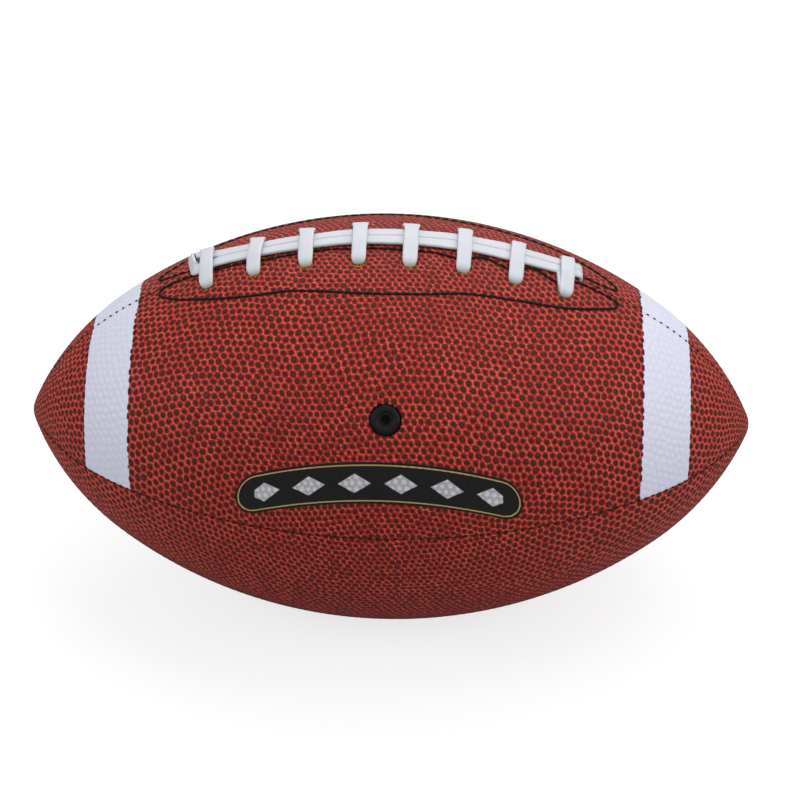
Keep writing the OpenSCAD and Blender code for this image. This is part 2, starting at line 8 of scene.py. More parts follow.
import bpy
import numpy as np
from mathutils import Matrix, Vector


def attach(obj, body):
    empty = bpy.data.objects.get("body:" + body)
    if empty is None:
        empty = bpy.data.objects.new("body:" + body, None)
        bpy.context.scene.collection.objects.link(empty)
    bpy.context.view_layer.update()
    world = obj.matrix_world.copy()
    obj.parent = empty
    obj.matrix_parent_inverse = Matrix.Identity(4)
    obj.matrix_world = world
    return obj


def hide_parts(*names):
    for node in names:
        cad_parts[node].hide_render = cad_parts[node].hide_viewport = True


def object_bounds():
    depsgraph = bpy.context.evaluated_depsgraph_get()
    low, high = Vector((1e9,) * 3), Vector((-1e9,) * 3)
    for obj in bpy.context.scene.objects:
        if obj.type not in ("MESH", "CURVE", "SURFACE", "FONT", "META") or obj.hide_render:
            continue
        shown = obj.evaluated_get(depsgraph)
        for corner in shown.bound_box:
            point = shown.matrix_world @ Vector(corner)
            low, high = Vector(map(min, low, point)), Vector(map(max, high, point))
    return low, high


bl_info = {
    "name": "American football",
    "version": (1, 0, 0),
    "blender": (4, 5, 0),
    "location": "3D View > Sidebar > Football",
    "description": "Builds a football's cover, stripes, lace, threads and valve round its frame",
    "category": "Object",
}

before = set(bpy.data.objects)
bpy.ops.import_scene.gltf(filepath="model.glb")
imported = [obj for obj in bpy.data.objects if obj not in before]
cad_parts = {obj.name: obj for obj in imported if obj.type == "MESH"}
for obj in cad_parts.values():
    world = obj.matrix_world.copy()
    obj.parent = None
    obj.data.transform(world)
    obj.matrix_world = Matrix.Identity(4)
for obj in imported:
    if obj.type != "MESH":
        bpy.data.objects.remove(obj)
CAD_BOX = [list(corner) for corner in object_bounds()]

MM = 0.001
BODY = "root"
QUARTER = np.pi / 2
TWO_PI = 2 * np.pi


# Sizes and colours that a user may change


def length(name, text, value):
    """A length property in metres."""
    return bpy.props.FloatProperty(
        name=name, description=text, default=value, min=0.0, soft_max=0.4,
        precision=5, unit="LENGTH", subtype="DISTANCE",
    )


def angle(name, text, degrees, low, high):
    """An angle property, its default given in degrees and its limits in radians."""
    return bpy.props.FloatProperty(
        name=name, description=text, default=np.radians(degrees), min=low, max=high,
        unit="ROTATION", subtype="ANGLE",
    )


def share(name, text, value, top):
    """A plain number property from nought to its top."""
    return bpy.props.FloatProperty(name=name, description=text, default=value, min=0.0, max=top)


def colour(name, text, value):
    """A colour property with its red, green and blue in linear light."""
    return bpy.props.FloatVectorProperty(
        name=name, description=text, default=value, size=3, min=0.0, max=1.0, subtype="COLOR"
    )


class FootballBall(bpy.types.PropertyGroup):
    """Sizes of the ball and of its cover."""

    ball_length: length("Length", "Distance between the tips", 0.285)
    ball_width: length("Width", "Diameter at the middle", 0.161)
    shoulder_radius: length("Shoulder radius", "Radius of the arcs next to the tips", 0.1078)
    tip_radius: length("Tip radius", "Radius of the rounded tips", 0.0097)
    long_arc: angle("Long arc", "Half angle of the long middle arc", 34.7, 0.5, 0.7)
    cover_thickness: length("Cover", "Thickness of the cover", 0.0024)
    seam_gap: length("Seam gap", "Gap between two panels", 0.00004)
    seam_depth: length("Seam depth", "How deep a panel's edge rolls into the seam", 0.00042)
    seam_roll: length("Seam roll", "Width over which an edge rolls in", 0.0014)
    seam_sway: length("Seam sway", "How far the lace seam strays beyond the slit", 0.0018)
    slit_half: length("Slit", "Half length of the slit under the lace", 0.072)
    slit_width: length("Slit width", "Width of the slit", 0.0014)


class FootballLeather(bpy.types.PropertyGroup):
    """Grain and colours of the cover."""

    pebble_spacing: length("Pebble spacing", "Distance between neighbouring pebbles", 0.00286)
    pebble_height: length("Pebble height", "Height of a pebble over its valley", 0.00022)
    pebble_shift: share("Pebble shift", "Random shift, as a share of the spacing", 0.20, 0.5)
    valley_colour: colour("Valleys", "Colour of the net between the pebbles", (0.60, 0.092, 0.062))
    pebble_colour: colour("Pebbles", "Colour of the pebbles' tops", (0.022, 0.013, 0.006))
    stripe_colour: colour("Stripes", "Colour of the stripes", (0.61, 0.62, 0.74))
    stripe_near: length("Stripe start", "Distance of a stripe's near edge from the middle", 0.0975)
    stripe_far: length("Stripe end", "Distance of a stripe's far edge from the middle", 0.1165)
    stripe_film: length("Stripe film", "Thickness of the stripe film", 0.00005)


class FootballLace(bpy.types.PropertyGroup):
    """Sizes and colour of the lace."""

    lace_width: length("Width", "Width of the flat lace", 0.0056)
    lace_thickness: length("Thickness", "Thickness of the lace", 0.0015)
    lace_gap: length("Gap", "Clearance of the lace over the cover and to itself", 0.00025)
    lace_colour: colour("Colour", "Colour of the lace", (0.545, 0.563, 0.61))


class FootballThread(bpy.types.PropertyGroup):
    """Sizes and colour of the sewing threads."""

    thread_diameter: length("Thread", "Diameter of the outline's thread", 0.0011)
    stitch_pitch: length("Stitch", "Length of a stitch of the outline", 0.0036)
    seam_pitch: length("Seam stitch", "Distance between stitches in the seams", 0.0032)
    thread_colour: colour("Colour", "Colour of the waxed thread", (0.005, 0.0045, 0.005))


class FootballValve(bpy.types.PropertyGroup):
    """Place, sizes and colour of the valve."""

    valve_along: length("Along", "Distance of the valve from the middle, along the ball", 0.0025)
    valve_turn: angle("Turn", "Turn of the valve from the lace seam", 56.5, 0.8, 1.1)
    button_radius: length("Button", "Radius of the button", 0.0054)
    hole_clearance: length("Clearance", "Clearance round the button", 0.00015)
    rubber_colour: colour("Colour", "Colour of the rubber", (0.0035, 0.0032, 0.0035))


SETTINGS = {
    "football_ball": FootballBall,
    "football_leather": FootballLeather,
    "football_lace": FootballLace,
    "football_thread": FootballThread,
    "football_valve": FootballValve,
}


def settings(name):
    """The scene's property group of that name."""
    return getattr(bpy.context.scene, "football_" + name)


# The surface of the ball


class SideView:
    """The ball's side view as three tangent arcs: a long one, a shoulder and a tip.

    The step between the radii of the long arc and the shoulder solves the two conditions that the
    arcs are tangent and that the tip arc ends at half the length.
    """

    def __init__(self, ball):
        half, waist = ball.ball_length / 2, ball.ball_width / 2
        shoulder, tip, arc = ball.shoulder_radius, ball.tip_radius, ball.long_arc
        rise = 1 - np.cos(arc)
        reach = (half - tip) * np.sin(arc) + (waist - shoulder) * rise
        slack = (half - tip) ** 2 + (waist - shoulder) ** 2 - (shoulder - tip) ** 2
        step = (reach - np.sqrt(reach**2 - 2 * rise * slack)) / (2 * rise)
        low = waist - shoulder - step
        middle = (step * np.sin(arc), low + step * np.cos(arc))
        end = np.arctan2(half - tip - middle[0], -middle[1])
        self.along = np.array([0.0, middle[0], half - tip])
        self.centre = np.array([low, middle[1], 0.0])
        self.radius = np.array([shoulder + step, shoulder, tip])
        self.start = np.array([0.0, arc, end])
        spans = np.diff(np.append(self.start, QUARTER)) * self.radius
        self.begin = np.concatenate([[0.0], np.cumsum(spans)[:2]])
        self.half = float(spans.sum())

    def arcs(self, s):
        """Sign, arc number and lean of the surface at s: the lean grows by s over the radius."""
        s = np.asarray(s, float)
        q = np.abs(s)
        k = (q > self.begin[1]).astype(int) + (q > self.begin[2])
        return np.sign(s), k, self.start[k] + (q - self.begin[k]) / self.radius[k]

    def signed_lean(self, s):
        """Lean of the surface's outward direction along the ball, with its sign."""
        sign, _, lean = self.arcs(s)
        return sign * lean

    def girth(self, s, h=0.0):
        """Distance from the long axis: the arc's centre plus its radius times the lean's cosine."""
        _, k, lean = self.arcs(s)
        return self.centre[k] + (self.radius[k] + h) * np.cos(lean)

    def distance(self, x):
        """Distance along the surface to the place x from the middle, on the first two arcs."""
        q = abs(x)
        k = 0 if q < self.radius[0] * np.sin(self.start[1]) else 1
        lean = np.arcsin((q - self.along[k]) / self.radius[k])
        return float(np.sign(x) * (self.begin[k] + (lean - self.start[k]) * self.radius[k]))

    def points(self, s, turn, h=0.0):
        """Points at distance s, turn and height h: the side view turned round the long axis."""
        side, k, lean = self.arcs(s)
        x = side * (self.along[k] + (self.radius[k] + h) * np.sin(lean))
        r = self.girth(s, h)
        return np.stack(np.broadcast_arrays(x, -r * np.sin(turn), r * np.cos(turn)), -1)

    def axes(self, s, turn):
        """Unit directions along the ball, across and outward, stacked on the last axis but one."""
        a = self.signed_lean(s)
        sin_t, cos_t = np.sin(turn), np.cos(turn)
        rows = [
            (np.cos(a), np.sin(a) * sin_t, -np.sin(a) * cos_t),
            (0 * a, -cos_t, -sin_t),
            (np.sin(a), -np.cos(a) * sin_t, np.cos(a) * cos_t),
        ]
        return np.stack([np.stack(np.broadcast_arrays(*row), -1) for row in rows], -2)


def ease(value, low, high):
    """Smooth step from 0 at low to 1 at high."""
    t = np.clip((value - low) / (high - low), 0, 1)
    return t * t * (3 - 2 * t)


# Meshes


def make_piece(name, part, material, node):
    """Makes a mesh object of (points, quads, triangles, attributes) and puts it on the frame."""
    points, quads, triangles, attributes = part
    mesh = bpy.data.meshes.new(name)
    mesh.vertices.add(len(points))
    mesh.vertices.foreach_set("co", points.astype(np.float32).ravel())
    corners = np.concatenate([quads.ravel(), triangles.ravel()])
    mesh.loops.add(len(corners))
    mesh.loops.foreach_set("vertex_index", corners.astype(np.int32))
    starts = np.concatenate(
        [np.arange(len(quads)) * 4, quads.size + np.arange(len(triangles)) * 3]
    )
    mesh.polygons.add(len(starts))
    mesh.polygons.foreach_set("loop_start", starts.astype(np.int32))
    mesh.update(calc_edges=True)
    for key, values in attributes.items():
        kind, field = ("FLOAT_VECTOR", "vector") if values.shape[1] == 3 else ("FLOAT", "value")
        attribute = mesh.attributes.new(key, kind, "POINT")
        attribute.data.foreach_set(field, values.astype(np.float32).ravel())
    mesh.polygons.foreach_set("use_smooth", np.ones(len(starts), bool))
    mesh.validate()
    mesh.materials.append(material)
    piece = bpy.data.objects.new(name, mesh)
    bpy.context.scene.collection.objects.link(piece)
    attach(piece, BODY)
    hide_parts(node)


def repaint(node, material):
    """Gives a carried-over piece of the frame a better material, in its own slots."""
    for slot in node.material_slots:
        slot.material = material


def loft(rings, attributes, closed=False):
    """Skin of quads between neighbouring rings of points, shaped (tubes, stations, ring, 3).

    Rings run counter-clockwise round the path. An open tube ends in a fan round the middle of its
    end ring, and a closed one joins its last ring to its first.
    """
    tubes, stations, ring = rings.shape[:3]
    number = np.arange(tubes * stations * ring).reshape(tubes, stations, ring)
    after = np.roll(number, -1, axis=1) if closed else number[:, 1:]
    here = number if closed else number[:, :-1]
    quads = np.stack([here, np.roll(here, -1, 2), np.roll(after, -1, 2), after], -1).reshape(-1, 4)
    points = rings.reshape(-1, 3)
    attributes = {key: value.reshape(len(points), -1) for key, value in attributes.items()}
    if closed:
        return points, quads, np.zeros((0, 3), int), attributes
    ends = rings[:, [0, -1]].mean(2).reshape(-1, 3)
    middle = len(points) + np.arange(2 * tubes).reshape(tubes, 2, 1)
    first, last = number[:, 0], number[:, -1]
    fans = [
        np.stack([np.broadcast_to(middle[:, 0], first.shape), np.roll(first, -1, 1), first], -1),
        np.stack([np.broadcast_to(middle[:, 1], last.shape), last, np.roll(last, -1, 1)], -1),
    ]
    triangles = np.concatenate([fan.reshape(-1, 3) for fan in fans])
    picks = number[:, [0, -1], 0].ravel()
    attributes = {key: np.concatenate([value, value[picks]]) for key, value in attributes.items()}
    return np.concatenate([points, ends]), quads, triangles, attributes


def unit(v):
    """Vectors scaled to length one."""
    return v / np.maximum(np.linalg.norm(v, axis=-1, keepdims=True), 1e-12)


def full_circle(count):
    """Equal turns that share a full circle."""
    return np.linspace(0, TWO_PI, count, endpoint=False)


def travelled(points):
    """Distance along a line of points from its start to each of them."""
    return np.concatenate([[0], np.cumsum(np.linalg.norm(np.diff(points, axis=0), axis=1))])


def sweep(path, outs, half_width, half_height, sides, power=2.0):
    """Rings of a superellipse section along paths shaped (tubes, stations, 3).

    Across is the out direction crossed with the path's own direction. The section is the signed
    power 2/power of cosine times the half width across, and of sine times the half height outward.
    """
    ahead = unit(np.gradient(path, axis=1))
    across = unit(np.cross(outs, ahead))
    out = np.cross(ahead, across)
    turn = full_circle(sides)
    c, d = (np.sign(part) * np.abs(part) ** (2 / power) for part in (np.cos(turn), np.sin(turn)))
    wide = half_width[..., None, None] * c[:, None] * across[..., None, :]
    high = half_height[..., None, None] * d[:, None] * out[..., None, :]
    return path[..., None, :] + wide + high


# Shader maths


def operator(operation, swapped=False):
    """A method that adds a Math node for that operation, on a wire and any other values."""

    def add_node(self, *others):
        values = (*others, self) if swapped else (self, *others)
        return self.tree.node("ShaderNodeMath", {"operation": operation}, *values)

    return add_node


class Wire:
    """A node's output that takes part in Python expressions: each operator adds a Math node."""

    def __init__(self, tree, socket):
        self.tree, self.socket = tree, socket

    __add__ = __radd__ = operator("ADD")
    __mul__ = __rmul__ = operator("MULTIPLY")
    __sub__, __rsub__ = operator("SUBTRACT"), operator("SUBTRACT", swapped=True)
    __pow__, __abs__ = operator("POWER"), operator("ABSOLUTE")
    most, sine, there_and_back = operator("MAXIMUM"), operator("SINE"), operator("PINGPONG")

    def step(self, low, high):
        """Smooth step of this value from 0 at low to 1 at high."""
        kind = {"interpolation_type": "SMOOTHSTEP"}
        return self.tree.node("ShaderNodeMapRange", kind, self, low, high, 0.0, 1.0)


class Tree:
    """A material under construction."""

    def __init__(self, name):
        self.material = bpy.data.materials.new(name)
        self.material.use_nodes = True
        self.nodes, self.links = self.material.node_tree.nodes, self.material.node_tree.links
        self.nodes.clear()
        self.place = self.node("ShaderNodeTexCoord", {}, out="Object")

    def node(self, kind, settings, *values, out=0, at=None, **named):
        """Adds a node, sets its settings, then its inputs, and gives one output.

        Inputs are given in order, by number in at, or by name. A colour is given as three numbers.
        """
        node = self.nodes.new(kind)
        for key, value in settings.items():
            setattr(node, key, value)
        for key, value in [*enumerate(values), *(at or {}).items(), *named.items()]:
            socket = node.inputs[key.replace("_", " ") if isinstance(key, str) else key]
            if isinstance(value, Wire):
                self.links.new(value.socket, socket)
            elif value is not None:
                socket.default_value = (*value, 1.0) if socket.type == "RGBA" else value
        return Wire(self, node.outputs[out]) if node.outputs else None

    def attribute(self, name, out="Fac"):
        """A value or vector that the mesh carries."""
        return self.node("ShaderNodeAttribute", {"attribute_name": name}, out=out)

    def split(self, vector):
        """The three numbers of a vector."""
        node = self.node("ShaderNodeSeparateXYZ", {}, vector).socket.node
        return [Wire(self, socket) for socket in node.outputs]

    def noise(self, scale, detail=2.0, vector=None):
        """Noise of that scale per metre on the object's coordinates, or on another vector."""
        vector = vector or self.place
        return self.node("ShaderNodeTexNoise", {}, Vector=vector, Scale=scale, Detail=detail)

    def mix(self, factor, a, b):
        """Colour a where the factor is 0 and b where it is 1."""
        return self.node("ShaderNodeMix", {"data_type": "RGBA"}, factor, at={6: a, 7: b}, out=2)

    def bump(self, height, distance, strength):
        """A normal that leans with a height given as a share of the distance."""
        return self.node("ShaderNodeBump", {}, strength, distance, Height=height)

    def finish(self, base, rough, normal, **more):
        """Joins the finished values to a Principled shader and gives the material."""
        return self.surface(self.node(
            "ShaderNodeBsdfPrincipled", {},
            Base_Color=base, Roughness=rough, Normal=normal, **more,
        ))

    def surface(self, shader):
        """Makes a shader the material's surface and gives the material."""
        self.node("ShaderNodeOutputMaterial", {}, shader)
        return self.material


def darker(value, by):
    """A colour scaled by a number."""
    return tuple(float(c) * by for c in value)


# Pebble grain


class Grain:
    """A hexagonal lattice of pebbles whose centres are shifted at random.

    The field at a point is the distance to the border of its pebble's cell. For each neighbour that
    is the distance to the line halfway between the two centres, and a soft minimum over all
    neighbours rounds the corners.
    """

    # Length and width that the lattice covers, the distance over which the pebbles grow, the
    # seventh power's size at its reach, and the minimum's softness as a share of the spacing
    LENGTH, WIDTH = 0.36, 0.14
    GROWTH = 0.25
    TIP_SHARE, TIP_REACH = 0.0125, 0.16
    SOFTNESS = 0.08

    def __init__(self, spacing, shift, seed):
        draw = np.random.default_rng(seed)
        self.spacing, self.row = spacing, spacing * np.sqrt(3) / 2
        self.columns, self.rows = int(self.LENGTH / spacing) + 8, int(self.WIDTH / self.row) + 8
        turn = draw.uniform(0, TWO_PI, (self.rows, self.columns))
        reach = shift * spacing * np.sqrt(draw.uniform(0, 1, turn.shape))
        j, i = np.mgrid[: self.rows, : self.columns]
        self.x = (i + 0.5 * (j % 2) - self.columns / 2) * spacing + reach * np.cos(turn)
        self.y = (j - self.rows / 2) * self.row + reach * np.sin(turn)
        self.tone = draw.uniform(0, 1, turn.shape)

    def field(self, s, w, bend):
        """Distance to the cell's border and the pebble's own tone, at panel coordinates.

        The panel is laid flat first, so that its pebbles stay round: a girth becomes an arc that
        bends away from the panel's middle line by its angle. A hyperbolic tangent of the flat
        place, taken as a complex number, then makes the pebbles larger toward the stripes, and its
        seventh power makes them smaller again at the tips. Slow sine waves of about a millimetre
        bend the lattice's rows.
        """
        safe = np.where(np.abs(bend) < 1e-4, 1e-4, bend)
        flat = s + w * (1 - np.cos(safe)) / safe + 1j * w * np.sin(safe) / safe
        tips = self.TIP_SHARE * (flat / self.TIP_REACH) ** 7
        flat = self.GROWTH * np.tanh(flat / self.GROWTH) + tips
        x, y = flat.real, flat.imag
        x, y = (
            x + 0.0012 * np.sin(y * 95 + 1.3) + 0.0010 * np.sin(x * 61 + y * 44),
            y + 0.0012 * np.sin(x * 83 + 0.4) + 0.0009 * np.sin(x * 47 - y * 71),
        )
        j0 = np.round(y / self.row + self.rows / 2).astype(int)
        near, tone = np.full(s.shape, np.inf), np.zeros(s.shape)
        centre = np.zeros((2,) + s.shape)
        found = []
        for dj in range(-2, 3):
            j = np.clip(j0 + dj, 0, self.rows - 1)
            i0 = np.round(x / self.spacing + self.columns / 2 - 0.5 * (j % 2)).astype(int)
            for di in range(-2, 3):
                i = np.clip(i0 + di, 0, self.columns - 1)
                cx, cy = self.x[j, i], self.y[j, i]
                gap = (x - cx) ** 2 + (y - cy) ** 2
                closer = gap < near
                near = np.where(closer, gap, near)
                tone = np.where(closer, self.tone[j, i], tone)
                centre = np.where(closer, np.stack([cx, cy]), centre)
                found.append((cx, cy, gap))
        soft = self.SOFTNESS * self.spacing
        total = np.zeros(s.shape)
        for cx, cy, gap in found:
            apart = np.hypot(cx - centre[0], cy - centre[1])
            border = (gap - near) / (2 * np.maximum(apart, 1e-9))
            total += np.where(apart > 1e-7, np.exp(-border / soft), 0.0)
        return np.clip(-soft * np.log(total), -0.5 * self.spacing, None), tone


# Cover panels


class Sewing:
    """Lines and holes of the upper panels, in millimetres: s along the ball, v from the lace seam.

    v grows toward the front. A bar of the lace ends in one front hole and one back hole.
    """

    BARS = (np.arange(8) - 3.5) * 20.0 + [0.5, -0.35, -0.15, 0.0, -0.85, -0.8, -0.8, -0.8]
    FRONT = np.array([11.6, 11.9, 12.1, 13.0, 14.0, 14.1, 14.1, 12.9])
    BACK = np.array([-14.0, -12.6, -12.6, -12.6, -12.6, -12.6, -12.6, -12.6])
    BACK_SHIFT = np.array([-3.6, -0.9, -1.5, -1.5, -1.5, -1.1, 1.3, 0.0])
    OUTER = np.array([
        (-91.7, 5.0), (-91.0, 6.6), (-89.6, 8.3), (-85.0, 11.9), (-79.8, 15.0), (-70.8, 19.0),
        (-62.2, 21.8), (-53.9, 23.9), (-45.9, 25.0), (-38.0, 25.4), (-30.3, 26.4), (-22.6, 27.9),
        (-15.0, 29.1), (-7.5, 29.8), (0.0, 30.0), (7.5, 29.8), (15.0, 29.2), (22.4, 27.9),
        (29.8, 26.4), (37.3, 25.5), (45.0, 24.9), (52.7, 23.9), (60.6, 22.7), (68.7, 20.8),
        (76.9, 17.3), (85.5, 12.5), (90.6, 9.0), (92.3, 7.2),
    ])
    INNER = np.array([
        (92.6, 5.6), (91.2, 4.5), (88.0, 3.9), (84.0, 3.6), (80.0, 3.3), (74.5, 2.8), (70.0, 5.0),
        (67.0, 7.4), (63.5, 8.2), (60.0, 4.8), (56.0, 3.4), (51.0, 6.4), (45.5, 8.8), (42.0, 6.6),
        (39.0, 4.9), (35.5, 4.8), (28.3, 8.4), (25.6, 8.1), (18.7, 6.1), (13.8, 5.9), (6.6, 6.0),
        (-6.9, 5.3), (-13.8, 5.4), (-21.7, 4.6), (-28.6, 5.2), (-34.0, 5.2), (-46.0, 5.7),
        (-57.0, 4.1), (-65.0, 3.9), (-71.0, 3.0), (-78.0, 2.0), (-85.0, 2.0), (-89.3, 2.4),
        (-91.4, 3.5),
    ])
    FULLER = np.array([(-91, -75, -40, 0, 35, 60, 85), (2.6, 3.0, 3.0, 2.4, 1.4, 0.0, -1.4)])

    @classmethod
    def slots(cls):
        """Holes as rows of s, v, half length along s and half length along v.

        The front holes come first, then the back ones and the end holes of the two straps. The
        last front hole is wider, because the lace's free end comes out of it too.
        """
        rows = [(s, v + 0.1, 2.35, 1.4) for s, v in zip(cls.BARS, cls.FRONT)]
        rows[-1] = (68.8, 12.3, 2.9, 2.1)
        rows += [(s, v, 2.35, 1.35) for s, v in zip(cls.BARS + cls.BACK_SHIFT, cls.BACK)]
        return np.array([*rows, (75.8, -6.35, 1.25, 2.25), (75.9, -1.8, 1.25, 2.25)])

    @classmethod
    def outline(cls, back):
        """The closed sewn outline as a smooth line, in metres: its knots joined and evened out.

        The back one is fuller: its outer row stands out by the second row of FULLER at the places
        of the first, its inner row by 2.2 mm at the left end and -1.6 mm at the right, and its left
        end is 2 mm longer.
        """
        knots = np.concatenate([cls.OUTER, cls.INNER, cls.OUTER[:1]])
        at = travelled(knots)
        even = np.linspace(0, at[-1], 900)
        line = np.stack([np.interp(even, at, column) for column in knots.T], -1)[:-1]
        for _ in range(40):
            line = (np.roll(line, 1, 0) + 2 * line + np.roll(line, -1, 0)) / 4
        s, v = line.T
        if back:
            left, right, outer = ease(-s, 70, 91), ease(s, 70, 91), ease(v, 8, 18)
            fuller = np.interp(s, *cls.FULLER)
            v = v + (1 - outer) * (left * 2.2 - right * 1.6) + outer * fuller
            s = s - 2.0 * ease(-s, 84, 91)
        return s * MM, v * MM


# Grid of a panel: its columns, its outer rows and those of its inner face, and the places of the
# rows that crowd at a seam
COLUMNS, ROWS, INNER_ROWS = 576, 160, 9
EDGE_ROWS = np.array([0.0, 0.22, 0.6, 1.05, 1.6, 2.3]) * MM

# Quarters are counted from the lace seam toward the front; the laced ones are the upper panels
LACED = (0, 3)

# Depth and width of the seams' puckers and of the channel under the sewn outline
PUCKER_DEPTH, PUCKER_WIDTH = 0.14 * MM, 0.9 * MM
CHANNEL_DEPTH, CHANNEL_WIDTH = 0.28 * MM, 0.65 * MM

# Depth of a pit, of the leather drawn in about it and of the deepest place, and the least radius
# of a round hole, below which a hole is one of the lace's
PIT_DEPTH, DRAWN_DEPTH, DEEPEST = 2.0 * MM, 0.30 * MM, 2.2 * MM
ROUND_HOLE = 4 * MM

# How much nearer the middle the left stripe is on the front
STRIPE_LAG = 1.9 * MM

# A distance that is out of reach of everything sewn
FAR = 1.0


def spread_rows(reach, gap):
    """Distances of a panel's rows from its middle line: close at the edges, even between."""
    squeeze = np.minimum(1, reach / (14 * MM))
    edge = gap[:, None] + EDGE_ROWS[None] * squeeze[:, None]
    inside = ROWS // 2 - len(EDGE_ROWS)
    t = np.arange(1, inside + 1) / (inside + 0.5)
    rest = edge[:, -1:] + (reach[:, None] - edge[:, -1:]) * t[None]
    half = reach[:, None] - np.concatenate([edge, rest], 1)
    return np.concatenate([-half, half[:, ::-1]], 1)


def oval(s, v, slot):
    """Distance from a slot's middle, stretched so that its rim is at its shorter half length."""
    return np.hypot((s - slot[0]) / slot[2], (v - slot[1]) / slot[3]) * min(slot[2:])


def snap_to(s, v, slot):
    """Moves points close to a slot's rim onto it, along their own line to the slot's middle."""
    rim, away = min(slot[2:]), oval(s, v, slot)
    factor = np.where(np.abs(away - rim) < 0.36 * MM, rim / np.maximum(away, 1e-9), 1.0)
    return slot[0] + (s - slot[0]) * factor, slot[1] + (v - slot[1]) * factor


def line_distance(s, v, line_s, line_v):
    """Distance of points to a dense line, for the points that are near the lace."""
    close = (np.abs(s) < 98 * MM) & (v < 36 * MM)
    p = np.stack([s[close], v[close]], -1).astype(np.float32)
    q = np.stack([line_s, line_v], -1).astype(np.float32)
    far = np.full(s.shape, FAR)
    far[close] = np.concatenate([
        np.sqrt(((part[:, None] - q[None]) ** 2).sum(-1)).min(1) for part in np.array_split(p, 24)
    ])
    return far


def seam_sway(s):
    """How far the lace seam strays to the front: nothing along the slit and near the tips."""
    q = np.abs(s)
    stray = settings("ball").seam_sway
    return stray * ease(q, 74 * MM, 98 * MM) * ease(q, 152 * MM, 128 * MM)


def panel_holes(side, quarter, facing):
    """Holes of a panel in metres: rows of s, distance from its upper seam and two half lengths."""
    if quarter not in LACED:
        return np.zeros((0, 4))
    holes = Sewing.slots() * (1, facing, 1, 1) * MM
    if quarter == 0:
        valve = settings("valve")
        rim = valve.button_radius + valve.hole_clearance
        v = side.girth(valve.valve_along) * valve.valve_turn
        holes = np.concatenate([holes, [(side.distance(valve.valve_along), v, rim, rim)]])
    return holes


def panel_grid(side, quarter, facing, holes):
    """A panel's grid: s, girth, half its width, and distances from its upper and nearer seam.

    Columns run from tip to tip and rows from seam to seam. Along the slit the panel draws back by
    half the slit's width, beyond it the seam sways, and points near a hole's rim are moved onto it.
    """
    ball = settings("ball")
    s = np.linspace(-1, 1, COLUMNS) * (side.half - 0.25 * MM)
    girth = side.girth(s)
    reach = girth * QUARTER / 2
    gap = np.minimum(ball.seam_gap / 2, 0.3 * reach)
    w = spread_rows(reach, gap)
    s = np.repeat(s[:, None], ROWS, 1)
    girth, reach, gap = girth[:, None], reach[:, None], gap[:, None]
    v = reach + facing * w
    if quarter in LACED:
        open_slit = ease(ball.slit_half - np.abs(s), 0, 1.5 * MM) * ease(v, 4 * MM, 0)
        v = v + open_slit * (ball.slit_width / 2 - gap)
        v = v + facing * seam_sway(s) * (1 - v / (2 * reach))
    for hole in holes:
        s, v = snap_to(s, v, hole)
    return s, girth, reach, v, reach - np.abs(w)


def sink_holes(s, v, holes, front):
    """Depth of the pits at the holes, and a mask: 1 where a hole's inside is painted as shade and
    ochre, -1 in the dark round the valve.

    A pit is a smooth step down inside its rim, and the leather about it is drawn in by a bell
    curve. In front of a front slot the mask also takes a round spot, where the hole's painted shade
    and ochre show on the leather.
    """
    depth, hole_mask = np.zeros(s.shape), np.zeros(s.shape)
    for hole in holes:
        rim, away = min(hole[2:]), oval(s, v, hole)
        depth += PIT_DEPTH * ease(away, rim + 0.05 * MM, rim - 0.4 * MM)
        depth += DRAWN_DEPTH * np.exp(-(np.maximum(away - rim, 0) / MM) ** 2)
        edge = ease(away, rim + 0.16 * MM, rim - 0.1 * MM)
        if rim > ROUND_HOLE:
            hole_mask -= edge
            continue
        hole_mask = np.maximum(hole_mask, edge)
        if front and hole[1] > 11 * MM:
            ahead = (1.9 if hole[0] < 0 else 1.4) * MM
            spot = np.hypot(s - hole[0], v - hole[1] - ahead)
            hole_mask = np.maximum(hole_mask, ease(spot, 1.8 * MM, 1.2 * MM))
    return depth, hole_mask


